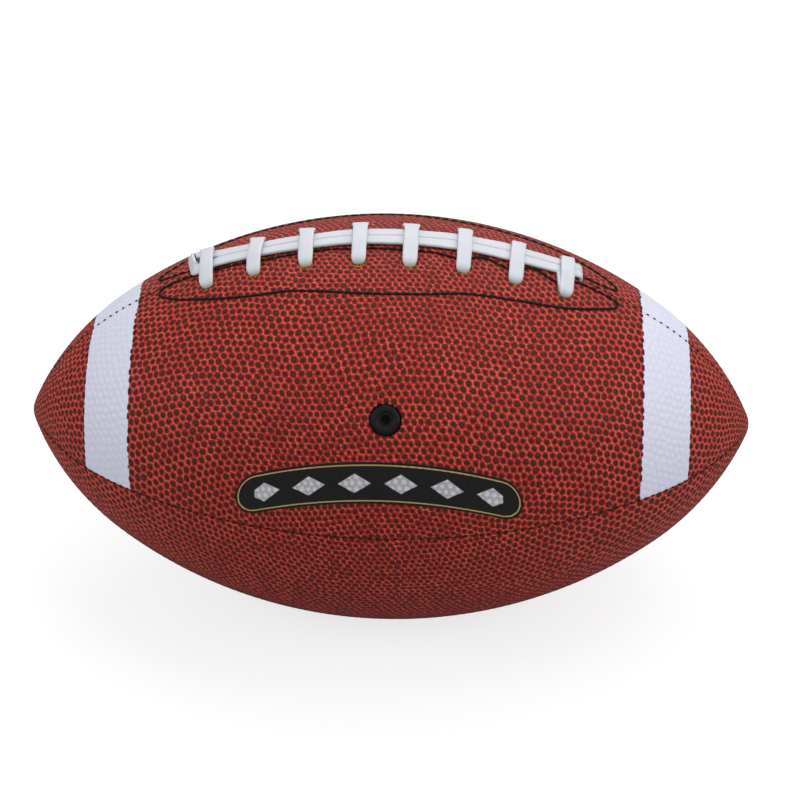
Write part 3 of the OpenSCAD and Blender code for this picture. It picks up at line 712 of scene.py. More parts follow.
def panel_surface(side, quarter):
    """Places, turn, height and attributes of one cover panel.

    The height is the pebble grain, less the roll into the seams, the puckers of their stitches, the
    channel under the sewn outline and the pits at the holes.
    """
    ball, leather = settings("ball"), settings("leather")
    laced, facing = quarter in LACED, 1 if quarter < 2 else -1
    holes = panel_holes(side, quarter, facing)
    s, girth, reach, v, near = panel_grid(side, quarter, facing, holes)
    w = facing * (v - reach)
    turn = (quarter + 0.5) * QUARTER + w / girth

    grain = Grain(leather.pebble_spacing, leather.pebble_shift, 11 + quarter)
    edge, tone = grain.field(s, w, (w / girth) * np.sin(side.signed_lean(s)))
    calm = ease(girth, 0, 9 * MM) * ease(near, -0.2 * MM, 1.4 * MM)
    h = leather.pebble_height * (ease(edge, -0.1 * MM, 0.75 * MM) - 0.75) * calm
    slim = np.minimum(1, girth / (20 * MM))
    roll = np.clip(1 - near / ball.seam_roll, 0, 1)
    h = h - ball.seam_depth * (1 - np.sqrt(1 - roll**2)) * slim
    pucker = 0.5 + 0.5 * np.cos(TWO_PI * s / settings("thread").seam_pitch)
    h = h - PUCKER_DEPTH * pucker * np.exp(-((near / PUCKER_WIDTH) ** 2)) * slim
    line = line_distance(s, v, *Sewing.outline(quarter == 3)) if laced else np.full(s.shape, FAR)
    h = h - CHANNEL_DEPTH * np.exp(-((line / CHANNEL_WIDTH) ** 2))
    depth, hole_mask = sink_holes(s, v, holes, quarter == 0)
    h = np.maximum(h - depth, -DEEPEST)

    first, last = side.distance(leather.stripe_near), side.distance(leather.stripe_far)
    lag = STRIPE_LAG * ease(-s, 0, 60 * MM) * ease(v * facing, -26 * MM, 8 * MM)
    away = np.abs(s) + lag
    stripe = np.minimum(away - first, last - away) if laced else np.full(s.shape, -FAR)
    fields = {
        "grain": edge / MM,
        "tone": tone,
        "pit": hole_mask,
        "stripe": np.clip(stripe / MM, -9, 20),
        "thread": np.clip(line / MM, 0, 9),
        "place": np.stack([s / MM, v / MM, near / MM], -1),
    }
    return s, turn, h, fields


def panel_rings(side, s, turn, h):
    """Closed rings across a panel: its outer rows, cut edge and a few rows of its inner face."""
    back = turn[:, -1:] + (turn[:, :1] - turn[:, -1:]) * np.linspace(0, 1, INNER_ROWS)
    under = side.points(np.repeat(s[:, :1], INNER_ROWS, 1), back, -settings("ball").cover_thickness)
    return np.concatenate([side.points(s, turn, h), under], 1)[None]


def widen(field):
    """A field's grid with its first column repeated for the rows of the inner face."""
    return np.concatenate([field, np.repeat(field[:, :1], INNER_ROWS, 1)], 1)[None]


# Tints of the leather that go with the two colours a user may change
CLOUDED_NET = (0.52, 0.066, 0.044)
NET_RIM = (0.25, 0.016, 0.012)
RED_TOP = (0.044, 0.010, 0.009)
CROWN = (0.095, 0.032, 0.026)
TOP_RIM = (0.072, 0.009, 0.007)
FILM_SHADE = (0.022, 0.007, 0.010)
THREAD_SHADE = (0.020, 0.008, 0.007)
SEAM_SHADE = (0.035, 0.010, 0.008)
# Inside a hole: the lining's ochre, and a painted shade for the dark in the hole
HOLE_LINING = (0.30, 0.15, 0.012)
HOLE_SHADE = (0.050, 0.022, 0.006)
VALVE_SHADE = (0.004, 0.003, 0.003)

# Sizes and colours of the pressed ornament, in millimetres
BAND_MIDDLE, BAND_LENGTH, BAND_RADIUS = 103.0, 46.0, 8.0
RULE_RADIUS, LOZENGE_PITCH = 6.9, 17.0
BAND_BLACK, RULE_GOLD = (0.010, 0.010, 0.011), (0.50, 0.36, 0.13)
FOIL_LOW, FOIL_HIGH = (0.42, 0.43, 0.46), (0.66, 0.67, 0.70)


def leather_material(name, printed=False):
    """Pebbled composite leather: dark pebble tops in a bright net, with painted shade and the
    lining's ochre in the holes.

    The grain attribute is the distance in millimetres from a pebble's border. The net's colour is
    at the border, then come the pebble's rim, its top and its lighter crown. Near the seams the
    tops are worn.
    """
    leather = settings("leather")
    t = Tree(name)
    grain, tone, pit = t.attribute("grain"), t.attribute("tone"), t.attribute("pit")
    stripe, thread = t.attribute("stripe"), t.attribute("thread")
    along, seam, near = t.split(t.attribute("place", "Vector"))
    fine = t.noise(2600.0)
    inward = grain + ((tone - 0.5) * 0.10 + (fine - 0.5) * 0.12)
    worn = near.step(1.7, 0.3) * t.noise(420.0).step(0.40, 0.60)
    spot = inward.step(0.30, 0.56) * (1 - worn * 0.7)
    net = t.mix(t.noise(60.0, 3.0).step(0.3, 0.7), leather.valley_colour, CLOUDED_NET)
    net = t.mix(inward.step(0.03, 0.24), net, NET_RIM)
    top = t.mix(tone.step(0.1, 0.9), leather.pebble_colour, RED_TOP)
    top = t.mix(inward.step(0.74, 1.06) * 0.8, top, CROWN)
    base = t.mix(spot, net, t.mix(inward.step(0.44, 0.70), TOP_RIM, top))
    film_edge = stripe.step(-1.3, -0.35) * stripe.step(0.9, 0.3)
    base = t.mix(film_edge * (0.15 + spot * 0.6), base, FILM_SHADE)
    base = t.mix(thread.step(0.62, 0.25) * 0.8, base, THREAD_SHADE)
    base = t.mix(near.step(0.55, 0.1) * 0.55, base, SEAM_SHADE)
    # Painted shade inside the holes, mottled with the ochre of the lining that shows in them
    hole_inside = t.mix(t.noise(700.0).step(0.40, 0.60), HOLE_LINING, HOLE_SHADE)
    base = t.mix(pit.step(0.15, 0.6), base, hole_inside)
    base = t.mix(pit.step(0.0, -0.4), base, VALVE_SHADE)
    rough, metal = 0.54 - spot * 0.06 + fine * 0.10, None
    if printed:
        base, rough, metal = add_print(t, base, rough, along, seam, grain)
    normal = t.bump(fine * 0.6 + grain.step(0.0, 0.8) * 0.8, 0.00012, 0.7)
    return t.finish(base, rough, normal, Metallic=metal, Specular_IOR_Level=0.12)


def add_print(t, base, rough, along, seam, grain):
    """Plain ornament pressed on the front panel: a black band, silver lozenges and gold rules.

    The band is all that lies within a radius of its middle line, and a rule lies at a smaller
    radius. A lozenge is where the distances along and across from its middle, the first one
    shortened, add up to less than its half width.
    """
    row = seam - BAND_MIDDLE
    past = (abs(along) - BAND_LENGTH).most(0.0)
    far = (past * past + row * row) ** 0.5
    black = far.step(BAND_RADIUS + 0.3, BAND_RADIUS)
    rule = abs(far - RULE_RADIUS).step(0.32, 0.16)
    cell = along.there_and_back(LOZENGE_PITCH / 2)
    lozenge = (abs(cell - LOZENGE_PITCH / 2) * 0.62 + abs(row)).step(3.9, 3.6)
    lozenge = lozenge * abs(along).step(BAND_LENGTH + 0.5, BAND_LENGTH)
    base = t.mix(black, base, BAND_BLACK)
    base = t.mix(rule, base, RULE_GOLD)
    # Painted light on the foil: brighter on the pebbles' tops, darker in the valleys
    base = t.mix(lozenge, base, t.mix(grain.step(0.1, 0.7), FOIL_LOW, FOIL_HIGH))
    shiny = rule.most(lozenge)
    rough = rough * (1 - black) + black * 0.42
    return base, rough * (1 - shiny * 0.25), shiny * 0.55


class FOOTBALL_OT_cover(bpy.types.Operator):
    """Builds the four pebbled cover panels"""

    bl_idname = "football.cover"
    bl_label = "Cover panels"

    def execute(self, context):
        side = SideView(settings("ball"))
        plain = leather_material("Pebbled leather")
        printed = leather_material("Printed leather", printed=True)
        film = stripe_material()
        for quarter, name in enumerate(("top_front", "bottom_front", "bottom_back", "top_back")):
            s, turn, h, fields = panel_surface(side, quarter)
            wide = {key: widen(value) for key, value in fields.items()}
            part = loft(panel_rings(side, s, turn, h), wide)
            look = printed if quarter == 0 else plain
            make_piece("panel_" + name, part, look, "cover_" + name)
            if quarter in LACED:
                self.stripes(side, name[4:], s, turn, h, fields, film)
        return {"FINISHED"}

    def stripes(self, side, name, s, turn, h, fields, film):
        """Two films on a panel's own grid, lifted by their thickness; a mask frays their edges."""
        thick = settings("leather").stripe_film
        for end, word in ((-1, "left"), (1, "right")):
            picked = np.flatnonzero(((fields["stripe"] > -1.0) & (s * end > 0)).any(1))
            pick = slice(picked[0], picked[-1] + 1)
            top = side.points(s[pick], turn[pick], h[pick] + thick)
            under = side.points(s[pick], turn[pick], h[pick] + thick * 0.4)
            rings = np.concatenate([top, under[:, ::-1]], 1)[None]
            both = {
                key: np.concatenate([fields[key][pick], fields[key][pick][:, ::-1]], 1)[None]
                for key in ("grain", "tone", "stripe", "place")
            }
            node = "stripe_{}_{}".format(word, name)
            make_piece("film_" + node, loft(rings, both), film, node)


def stripe_material():
    """White film that follows the grain: painted shade darkens its valleys and its seam, and it
    frays at its edges.
    """
    white = settings("leather").stripe_colour
    t = Tree("Stripe film")
    grain, stripe = t.attribute("grain"), t.attribute("stripe")
    near = t.split(t.attribute("place", "Vector"))[2]
    fine = t.noise(1900.0)
    # Painted shade: the valleys a little darker than the tops
    base = t.mix(grain.step(0.0, 0.7), darker(white, 0.95), white)
    base = t.mix(fine.step(0.35, 0.75) * 0.35, base, darker(white, 0.93))
    # Painted shade in the seam's crease
    base = t.mix(near.step(0.3, 0.05) * 0.15, base, (0.20, 0.18, 0.22))
    inside = stripe - grain.step(0.15, 0.6) * 0.45 + (fine - 0.5) * 0.3
    normal = t.bump(fine * 0.5 + grain.step(0.0, 0.8) * 0.5, 0.00010, 0.5)
    return t.finish(base, 0.50 + fine * 0.12, normal, Alpha=inside.step(-0.05, 0.10))


# Lace


# Directions of the lace's width, as shares of along, across and outward
ALONG, TO_FRONT, TO_BACK = np.eye(3)[0], np.eye(3)[1], -np.eye(3)[1]

# The two straps at places s: where they touch and how wide each is, in millimetres
STRAPS = np.array([
    (-80, -3.4, 5.4), (-66, -3.5, 5.8), (-58, -2.4, 5.4), (-46, -1.1, 4.6), (-37, -1.2, 4.9),
    (-26, -0.8, 4.6), (-18, -1.8, 5.0), (-5, -1.7, 5.1), (3, -1.8, 5.3), (16, -1.6, 5.1),
    (24, -2.0, 5.5), (36, -1.8, 5.3), (44, -1.9, 5.8), (57, -1.4, 5.1), (66, -2.3, 5.0),
    (76, -3.7, 5.0),
])

# The eight bars: v of the fold behind, how far it leans along, its width as a share and its twist
CRESTS = (
    (-9.6, -1.0, 1.0, 0.2), (-7.0, 0.6, 1.12, 0.45), (-7.7, -0.4, 1.16, 0.28),
    (-9.3, -0.35, 1.16, 0.0), (-8.6, -0.2, 1.16, 0.0), (-9.5, 0.05, 1.05, -0.08),
    (-7.3, 0.7, 1.0, -0.05), (-7.9, 0.3, 1.0, -0.40),
)

# Height of the lace's runs inside the ball, in millimetres
DEEP = -7.15

# Faces round the lace, and the power of its section: 2 is an ellipse, more is squarer
LACE_SIDES, LACE_POWER = 24, 3.6


def strap(s):
    """Where the two straps touch and how wide each is, in millimetres: both wander a little."""
    return [np.interp(s, STRAPS[:, 0], column) for column in STRAPS.T[1:]]


def corner(s, v, h, cut, side, width, side_after=None, width_after=None):
    """A corner of the route: its place, its cut, and the lace's width before and after it."""
    side_after = side if side_after is None else side_after
    return (s, v, h), cut, side, side_after, width, width if width_after is None else width_after


def lace_corners():
    """Corners of the lace's route in millimetres, from its hidden start to its free end.

    Each row holds the place (s, v, height of the lace's middle), the cut of its rounded corner, the
    direction of the lace's width before and after it, and its width before and after it.
    """
    lace = settings("lace")
    wide, thick, gap = lace.lace_width / MM, lace.lace_thickness / MM, lace.lace_gap / MM
    flat, tight = 0.80 * wide, 0.58 * wide
    low = gap + thick / 2
    high = low + thick + gap

    rows = [corner(-80.0, 0.0, DEEP, 0.0, ALONG, tight)]
    bars = zip(Sewing.BARS, Sewing.FRONT, Sewing.BACK, Sewing.BACK_SHIFT, CRESTS)
    for k, (s, front, back, shift, (crest, lean, swell, twist)) in enumerate(bars):
        across, lift = ALONG + twist * TO_FRONT, 0.6 if k == 0 else 0.0
        rows += [
            corner(s, front, DEEP, 2.2, ALONG, tight),
            corner(s, front, 0.85, 2.0, ALONG, 0.76 * wide, width_after=wide),
            corner(s + lean * 0.1, 4.0, high, 2.6, ALONG, wide),
            corner(s + lean, crest, high + lift, 1.3, across, swell * wide),
            corner(s + shift * 0.9, back + 0.6, 0.3, 1.2, ALONG, flat, width_after=tight),
            corner(s + shift, back, DEEP, 2.2, ALONG, tight),
        ]
    rows += [
        corner(68.8, -6.35, DEEP, 4.5, ALONG, tight, TO_BACK, flat),
        corner(75.8, -6.35, DEEP, 2.2, TO_BACK, flat),
        corner(75.9, -6.35, low + 0.3, 2.1, TO_BACK, flat),
    ]

    def strap_rows(places, face):
        """Corners of the strap on that side of the line where the two touch."""
        for s in places:
            middle, width = strap(s)
            yield corner(s, middle + face[1] * (width + gap) / 2, low, 1.6, face, width)

    rows += strap_rows(np.arange(66.0, -67.0, -5.5), TO_BACK)
    tilt = np.radians(50)
    lying = np.array([-np.cos(tilt), 0.0, -np.sin(tilt)])
    middle, width = strap(-76)
    side = (width + gap) / 2
    turn = low + width / 2 * np.sin(tilt) * 0.8
    rows += [
        corner(-70.6, middle - side - 1.8, low + 0.3, 1.6, TO_BACK, width),
        corner(-74.4, middle - side - 2.3, low + 1.5, 1.6, TO_BACK, width),
        corner(-77.5, middle - side - 1.2, turn + 0.4, side, TO_BACK, width, lying),
        corner(-74.9, middle + side + 3.2, turn * 0.9, 2.3, lying, width, TO_FRONT),
        corner(-70.4, middle + side + 1.0, low, 1.6, TO_FRONT, width),
    ]
    rows += strap_rows(np.arange(-66.0, 67.0, 5.5), TO_FRONT)
    return rows + [
        corner(76.0, -1.8, low + 0.2, 2.1, TO_FRONT, flat),
        corner(75.9, -1.8, DEEP, 2.2, TO_FRONT, flat),
        corner(79.5, 4.0, DEEP, 3.0, TO_FRONT, flat, -ALONG, tight),
        corner(77.5, 11.0, DEEP, 3.0, -ALONG, tight),
        corner(68.2, 11.0, DEEP + 0.6, 2.2, -ALONG, tight),
        corner(68.2, 11.0, 1.0, 1.5, -ALONG, tight, width_after=flat),
        corner(67.5, 2.6, low, 0.0, -ALONG, flat),
    ]


def lace_stations(rows):
    """Stations of the lace: straight runs and quadratic bends, each with its place and its width.

    A run goes from the end of one bend to the start of the next, in steps of about a millimetre. A
    bend is a quadratic curve whose middle knot is the corner, and the width changes along it.
    """
    place = np.array([row[0] for row in rows], float)
    cut = np.array([row[1] for row in rows])
    leg = np.diff(place, axis=0)
    size = np.linalg.norm(leg, axis=1)
    after = place[:-1] + leg * np.minimum(cut[:-1] / size, 0.48)[:, None]
    before = place[1:] - leg * np.minimum(cut[1:] / size, 0.48)[:, None]
    stations = [np.concatenate([place[0], rows[0][3], rows[0][5:]])[None]]
    t = np.linspace(0, 1, 9)[1:, None]
    for k in range(len(leg)):
        count = max(int(np.linalg.norm(before[k] - after[k])), 1)
        run = after[k] + (before[k] - after[k]) * np.linspace(0, 1, count + 1)[1:, None]
        fixed = np.tile(np.concatenate([rows[k][3], rows[k][5:]]), (count, 1))
        stations.append(np.concatenate([run, fixed], 1))
        if k < len(leg) - 1:
            bend = (1 - t) ** 2 * before[k] + 2 * t * (1 - t) * place[k + 1] + t**2 * after[k + 1]
            _, _, side_in, side_out, wide_in, wide_out = rows[k + 1]
            full = np.sin(t * QUARTER) if wide_out > wide_in else 1 - np.cos(t * QUARTER)
            width = wide_in + (wide_out - wide_in) * full
            stations.append(np.concatenate([bend, (1 - t) * side_in + t * side_out, width], 1))
    return np.concatenate(stations)


def soften(values, rounds):
    """Averages each row with its neighbours, a few times over."""
    for _ in range(rounds):
        inner = (values[:-2] + 2 * values[1:-1] + values[2:]) / 4
        values = np.concatenate([values[:1], inner, values[-1:]])
    return values


class FOOTBALL_OT_lace(bpy.types.Operator):
    """Builds the lace as one unbroken flat ribbon through all its holes"""

    bl_idname = "football.lace"
    bl_label = "Lace"

    def execute(self, context):
        # Two slow waves vary the width a little, and where the lace is squeezed it is thicker, by
        # the square root of its lost width
        side, lace = SideView(settings("ball")), settings("lace")
        rows = lace_stations(lace_corners())
        rows[:, :3] = soften(rows[:, :3], 2)
        rows[:, 3:] = soften(rows[:, 3:], 3)
        s, v, h = rows[:, :3].T * MM
        turn = v / side.girth(s)
        path = side.points(s, turn, h)
        axes = side.axes(s, turn)
        width = np.einsum("ni,nij->nj", rows[:, 3:6], axes)
        ahead = unit(np.gradient(path, axis=0))
        face = np.cross(ahead, unit(width))
        full = rows[:, 6] * MM
        distance = travelled(path)
        uneven = 1 + 0.02 * np.sin(distance * 310) + 0.012 * np.sin(distance * 870 + 1)
        half_width = (full / 2 * uneven)[None]
        half_height = (lace.lace_thickness / 2 * (lace.lace_width / full) ** 0.5)[None]
        sides = full_circle(LACE_SIDES)
        rings = sweep(path[None], face[None], half_width, half_height, LACE_SIDES, LACE_POWER)
        ribbon = np.broadcast_arrays(distance[:, None] / MM, np.sin(sides) * 3, np.cos(sides) * 3)
        # How far the lace has sunk below the cover, for its painted shade in the holes
        hole = np.repeat(ease(-h, -0.5 * MM, 1.2 * MM)[:, None], LACE_SIDES, 1)
        part = loft(rings, {"hole": hole, "ribbon": np.stack(ribbon, -1)})
        make_piece("lace_ribbon", part, self.material(), "lace")
        return {"FINISHED"}

    def material(self):
        """White vinyl with a faint drawn grain along it, and painted shade where it dives into the
        holes.
        """
        white = settings("lace").lace_colour
        t = Tree("Lace vinyl")
        along, up, across = t.split(t.attribute("ribbon", "Vector"))
        drawn = t.node("ShaderNodeCombineXYZ", {}, along * 0.06, up, across)
        streak = t.noise(1.6, 3.0, drawn)
        dust = t.noise(900.0, 3.0)
        base = t.mix(streak.step(0.3, 0.7) * 0.35, white, darker(white, 0.90))
        base = t.mix(dust.step(0.55, 0.8) * 0.12, base, (0.50, 0.47, 0.45))
        # Painted shade: the lace turns greyer as it sinks into its holes
        base = t.mix(t.attribute("hole") * 0.45, base, (0.40, 0.37, 0.33))
        normal = t.bump(streak * 0.8 + dust * 0.3, 0.00008, 0.5)
        return t.finish(
            base, 0.40 + dust * 0.12, normal, Specular_IOR_Level=0.45, Subsurface_Weight=0.08,
            Subsurface_Radius=(0.002, 0.002, 0.002), Subsurface_Scale=0.5,
        )


# Threads


# Faces round a stitch, and the twist of its strands from end to end
STITCH_SIDES, STITCH_TWIST = 8, 14.0

# The most seam stitches on each side of the middle, and half the laced part, which isn't sewn
SEAM_STITCHES, UNSEWN_HALF = 50, 82 * MM


def thread_material():
    """Black waxed thread: twisted strands, a soft shine and dust."""
    name = "Waxed thread"
    if name in bpy.data.materials:
        return bpy.data.materials[name]
    t = Tree(name)
    twist, dust = t.attribute("strand").sine(), t.noise(1500.0)
    dark = settings("thread").thread_colour
    base = t.mix(twist.step(-0.6, 0.9), dark, darker(dark, 1.8))
    base = t.mix(dust.step(0.6, 0.85) * 0.2, base, (0.05, 0.02, 0.017))
    normal = t.bump(twist * 0.5 + 0.5, 0.00010, 0.6)
    return t.finish(base, 0.55 + dust * 0.2, normal, Specular_IOR_Level=0.15)


def stitches(side, s, turn, h_ends, h_middle, diameter, taper=0.55):
    """Short tubes along rows of places, shaped (stitches, stations): arched, with thinner ends.

    The height falls with the square of the distance from a stitch's middle, and the radius with its
    cube, down to the taper's share at the ends.
    """
    count, stations = s.shape
    t = np.linspace(-1, 1, stations)[None]
    path = side.points(s, turn, h_ends + (h_middle - h_ends) * (1 - t**2))
    radius = diameter / 2 * (1 - (1 - taper) * np.abs(t) ** 3) * np.ones((count, 1))
    rings = sweep(path, side.axes(s, turn)[..., 2, :], radius, radius, STITCH_SIDES)
    strand = full_circle(STITCH_SIDES) + np.linspace(0, STITCH_TWIST, stations)[:, None]
    return loft(rings, {"strand": np.broadcast_to(strand, rings.shape[:3])})


def even_places(line, pitch, stations, fill):
    """Splits a line into equal stitches of about the pitch: rows of stations over their share."""
    lengths = travelled(line)
    count = int(round(lengths[-1] / pitch))
    step = lengths[-1] / count
    at = (np.arange(count)[:, None] + 0.5 + fill * np.linspace(-0.5, 0.5, stations)[None]) * step
    return [np.interp(at, lengths, column) for column in line.T]


class FOOTBALL_OT_outline_stitches(bpy.types.Operator):
    """Sews the closed outline round the lace on both upper panels"""

    bl_idname = "football.outline_stitches"
    bl_label = "Outline stitches"

    def execute(self, context):
        side, thread = SideView(settings("ball")), settings("thread")
        for mirror, name, size in ((1, "front", 1.0), (-1, "back", 0.75)):
            line = np.stack(Sewing.outline(mirror < 0), -1)
            line = np.concatenate([line, line[:1]])
            s, v = even_places(line, thread.stitch_pitch, 9, 0.97)
            turn = mirror * v / side.girth(s)
            part = stitches(side, s, turn, -0.30 * MM, 0.10 * MM, thread.thread_diameter * size)
            node = "outline_stitch_" + name
            make_piece("stitches_" + name, part, thread_material(), node)
        return {"FINISHED"}


class FOOTBALL_OT_seam_stitches(bpy.types.Operator):
    """Puts the visible bites of thread into the four seams"""

    bl_idname = "football.seam_stitches"
    bl_label = "Seam stitches"

    def execute(self, context):
        side, pitch = SideView(settings("ball")), settings("thread").seam_pitch
        whole = np.arange(-SEAM_STITCHES, SEAM_STITCHES + 1) * pitch
        whole = whole[np.abs(whole) < side.half - 6 * MM]
        for quarter, name in enumerate(("top", "front", "bottom", "back")):
            spots = whole[np.abs(whole) > UNSEWN_HALF] if name == "top" else whole
            s = spots[:, None] + np.linspace(-0.5, 0.5, 5)[None] * MM
            turn = np.full(s.shape, quarter * QUARTER)
            if name == "top":
                turn = seam_sway(s) / side.girth(s)
            part = stitches(side, s, turn, -0.70 * MM, -0.08 * MM, 0.85 * MM, 0.6)
            node = "seam_thread_" + name
            make_piece("seam_stitches_" + name, part, thread_material(), node)
        return {"FINISHED"}


# Valve


def turned(side, profile):
    """Closed rings of (radius, height) pairs in millimetres, turned round the valve's axis."""
    valve = settings("valve")
    s = side.distance(valve.valve_along)
    origin, axes = side.points(s, valve.valve_turn), side.axes(s, valve.valve_turn)
    around = full_circle(96)[:, None]
    profile = np.array(profile) * MM
    ring = np.cos(around) * axes[0] - np.sin(around) * axes[1]
    points = origin + profile[:, 0, None, None] * ring[None] + profile[:, 1, None, None] * axes[2]
    return points[None]


def rubber_material(name, base_colour, rough):
    """Moulded rubber: a soft shine, faint mottling and fine moulding texture."""
    t = Tree(name)
    cloud, fine = t.noise(500.0, 3.0), t.noise(4200.0)
    base = t.mix(cloud.step(0.3, 0.75), base_colour, darker(base_colour, 1.7))
    normal = t.bump(fine * 0.6 + cloud * 0.4, 0.00006, 0.5)
    return t.finish(base, rough + fine * 0.10, normal, Specular_IOR_Level=0.15)


class FOOTBALL_OT_valve(bpy.types.Operator):
    """Builds the rubber valve button with its ring, recess, flange and stem"""

    bl_idname = "football.valve"
    bl_label = "Valve"

    def execute(self, context):
        side = SideView(settings("ball"))
        valve = settings("valve")
        rubber = rubber_material("Valve rubber", valve.rubber_colour, 0.42)
        rim = valve.button_radius / MM
        stem = [(2.7, -18.6), (4.5, -18.6), (4.5, -8.2)]
        flange = [(12.0, -8.6), (12.0, -7.4), (rim, -6.8), (rim, -0.6)]
        t = np.linspace(0, 1, 12)
        dome = [(rim - 1.6 * (1 - np.cos(a * QUARTER)), 0.80 * np.sin(a * QUARTER)) for a in t]
        dip = [(rim - 1.6 - 1.7 * a, 0.80 - 0.62 * (3 * a**2 - 2 * a**3)) for a in t[1:]]
        funnel = [(2.58, 0.1), (2.58, -4.0), (2.7, -6.0)]
        part = loft(turned(side, stem + flange + dome + dip + funnel), {}, closed=True)
        make_piece("valve_button", part, rubber, "valve_housing")
        repaint(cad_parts["valve_core"], rubber)
        return {"FINISHED"}


# Inner layers, carried over from the frame


def woven_material():
    """Bonded cotton lining: two crossed weaves with glue stains."""
    t = Tree("Lining cloth")
    x, y, z = t.split(t.place)
    weave = (x * 5200.0).sine() * ((y + z) * 5200.0).sine() * 0.5 + 0.5
    stain = t.noise(90.0, 3.0).step(0.45, 0.7)
    base = t.mix(weave, (0.46, 0.44, 0.40), (0.66, 0.64, 0.59))
    base = t.mix(stain * 0.4, base, (0.42, 0.34, 0.22))
    return t.finish(base, 0.85, t.bump(weave, 0.0002, 0.7))


def split_leather_material():
    """Rough split leather of the patches and the tongue."""
    t = Tree("Split leather")
    nap, cloud = t.noise(1400.0, 4.0), t.noise(120.0, 3.0)
    base = t.mix(cloud.step(0.3, 0.7), (0.34, 0.19, 0.09), (0.48, 0.30, 0.16))
    base = t.mix(nap.step(0.4, 0.7) * 0.4, base, (0.24, 0.13, 0.06))
    return t.finish(base, 0.80 + nap * 0.1, t.bump(nap, 0.0003, 0.7))


class FOOTBALL_OT_inner_layers(bpy.types.Operator):
    """Gives the hidden lining, patches, tongue and bladder their own finishes"""

    bl_idname = "football.inner_layers"
    bl_label = "Inner layers"

    def execute(self, context):
        cloth, leather = woven_material(), split_leather_material()
        rubber = rubber_material("Bladder rubber", (0.030, 0.028, 0.028), 0.55)
        finishes = {
            "lining": cloth, "lace_patch": leather, "tongue": leather,
            "bladder": rubber, "bond_patch": rubber,
        }
        for name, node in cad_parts.items():
            for start, material in finishes.items():
                if name.startswith(start):
                    repaint(node, material)
        return {"FINISHED"}


# Stage


# Half side of the floor, its glow, the surround's strength, and the lamps: name, place, size and
# power
FLOOR_HALF, FLOOR_GLOW, SURROUND = 3.0, 0.74, 0.24
LAMPS = (
    ("Top softbox", (0.2, 0.25, 1.25), (1.6, 1.0), 11.5),
    ("Front softbox", (0.15, -1.35, 1.1), (3.2, 0.8), 10.5),
    ("Back softbox", (0.1, 1.4, 0.7), (2.4, 0.8), 10.0),
    ("Left softbox", (-1.35, -0.45, 0.75), (0.9, 0.9), 8.5),
    ("Right softbox", (1.35, -0.45, 0.75), (0.9, 0.9), 8.5),
)


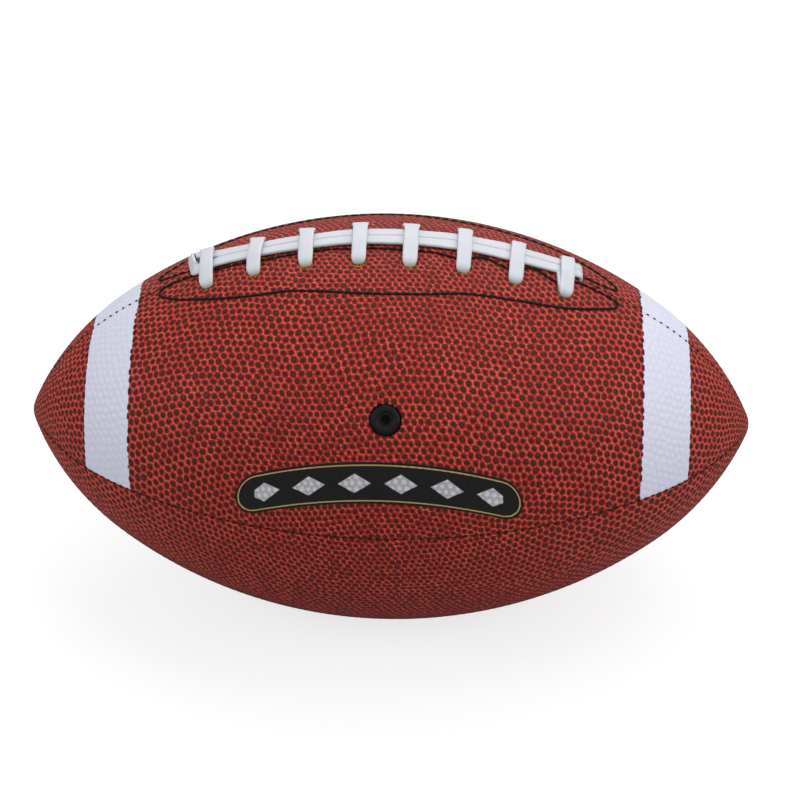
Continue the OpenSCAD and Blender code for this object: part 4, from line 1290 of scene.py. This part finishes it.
class FOOTBALL_OT_stage(bpy.types.Operator):
    """Sets the pale floor, the soft lamps and the camera"""

    bl_idname = "football.stage"
    bl_label = "Stage"

    def execute(self, context):
        self.floor()
        for lamp in LAMPS:
            self.lamp(*lamp)
        self.world()
        self.camera()
        return {"FINISHED"}

    def floor(self):
        """A wide plane just under the ball.

        Rays that light the ball meet a plain mid grey. The camera sees a pale paint with a glow,
        which gives a near white ground and keeps the ball's shadow.
        """
        low, far = CAD_BOX[0][2] - 0.4 * MM, FLOOR_HALF
        mesh = bpy.data.meshes.new("floor")
        corners = [(-far, -far, low), (far, -far, low), (far, far, low), (-far, far, low)]
        mesh.from_pydata(corners, [], [(0, 1, 2, 3)])
        t = Tree("Pale floor")
        mottled = t.mix(t.noise(3.0), (0.50,) * 3, (0.54,) * 3)
        grey = t.node("ShaderNodeBsdfDiffuse", {}, Color=mottled)
        paint = t.node("ShaderNodeBsdfDiffuse", {}, Color=(0.30,) * 3)
        glow = t.node("ShaderNodeEmission", {}, Strength=FLOOR_GLOW)
        pale = t.node("ShaderNodeAddShader", {}, paint, glow)
        seen = t.node("ShaderNodeLightPath", {}, out="Is Camera Ray")
        mesh.materials.append(t.surface(t.node("ShaderNodeMixShader", {}, seen, grey, pale)))
        floor = bpy.data.objects.new("floor", mesh)
        bpy.context.scene.collection.objects.link(floor)

    def lamp(self, name, place, size, power):
        """A rectangular lamp that looks at the ball's middle."""
        data = bpy.data.lights.new(name, "AREA")
        data.shape, data.size, data.size_y, data.energy = "RECTANGLE", *size, power
        lamp = bpy.data.objects.new(name, data)
        back = unit(np.array(place, float))
        across = unit(np.cross([0.0, 0.0, 1.0], back) + [1e-6, 0, 0])
        lamp.matrix_world = look_matrix(across, np.cross(back, across), back, place)
        bpy.context.scene.collection.objects.link(lamp)

    def world(self):
        """An even pale surround."""
        world = bpy.data.worlds.new("Surround")
        world.use_nodes = True
        background = world.node_tree.nodes["Background"]
        background.inputs["Color"].default_value = (1.0, 1.0, 1.0, 1.0)
        background.inputs["Strength"].default_value = SURROUND
        bpy.context.scene.world = world

    def camera(self):
        """The photograph's camera: raised, a little to the side and rolled, with a small shift.

        The focal length gives the image's pixels per metre at the ball's middle, and the shift puts
        that middle at its place in the image.
        """
        data = bpy.data.cameras.new("Camera")
        camera = bpy.data.objects.new("Camera", data)
        raised, yaw, roll = np.radians(34.5), np.radians(-2.63), np.radians(1.26)
        away, pixels_per_metre, pixels, middle = 0.898, 2509.0, 800.0, (388.7, 416.2)
        turn = rotation("Y", roll) @ rotation("Z", yaw) @ rotation("X", raised)
        right, up, back = turn.T @ [1, 0, 0], turn.T @ [0, 0, 1], turn.T @ [0, -1, 0]
        camera.matrix_world = look_matrix(right, up, back, back * away)
        data.sensor_width, data.lens = 36.0, 36.0 * pixels_per_metre * away / pixels
        data.shift_x = (pixels / 2 - middle[0]) / pixels
        data.shift_y = (middle[1] - pixels / 2) / pixels
        data.clip_start, data.clip_end = 0.05, 20.0
        bpy.context.scene.collection.objects.link(camera)
        bpy.context.scene.camera = camera
        bpy.context.scene.view_settings.view_transform = "Standard"


def rotation(axis, angle):
    """Rotation about one axis as a 3 by 3 array."""
    return np.array(Matrix.Rotation(float(angle), 3, axis))


def look_matrix(right, up, back, place):
    """World matrix of a camera or lamp from its own three directions and its place."""
    matrix = np.eye(4)
    matrix[:3, 0], matrix[:3, 1], matrix[:3, 2], matrix[:3, 3] = right, up, back, place
    return Matrix(matrix.tolist())


class FOOTBALL_PT_tools(bpy.types.Panel):
    """Lists the football's sizes and its building steps"""

    bl_label = "Football"
    bl_space_type = "VIEW_3D"
    bl_region_type = "UI"
    bl_category = "Football"

    def draw(self, context):
        for name, group in SETTINGS.items():
            box = self.layout.box()
            for key in group.__annotations__:
                box.prop(getattr(context.scene, name), key)
        for step in STEPS:
            self.layout.operator(step.bl_idname)


STEPS = (
    FOOTBALL_OT_cover,
    FOOTBALL_OT_lace,
    FOOTBALL_OT_outline_stitches,
    FOOTBALL_OT_seam_stitches,
    FOOTBALL_OT_valve,
    FOOTBALL_OT_inner_layers,
    FOOTBALL_OT_stage,
)
CLASSES = (*SETTINGS.values(), *STEPS, FOOTBALL_PT_tools)


def register():
    for item in CLASSES:
        bpy.utils.register_class(item)
    for name, group in SETTINGS.items():
        setattr(bpy.types.Scene, name, bpy.props.PointerProperty(type=group))


def unregister():
    for name in SETTINGS:
        delattr(bpy.types.Scene, name)
    for item in reversed(CLASSES):
        bpy.utils.unregister_class(item)


def main():
    """Builds every piece in order."""
    register()
    for step in STEPS:
        group, name = step.bl_idname.split(".")
        getattr(getattr(bpy.ops, group), name)()


if __name__ == "__main__":
    main()
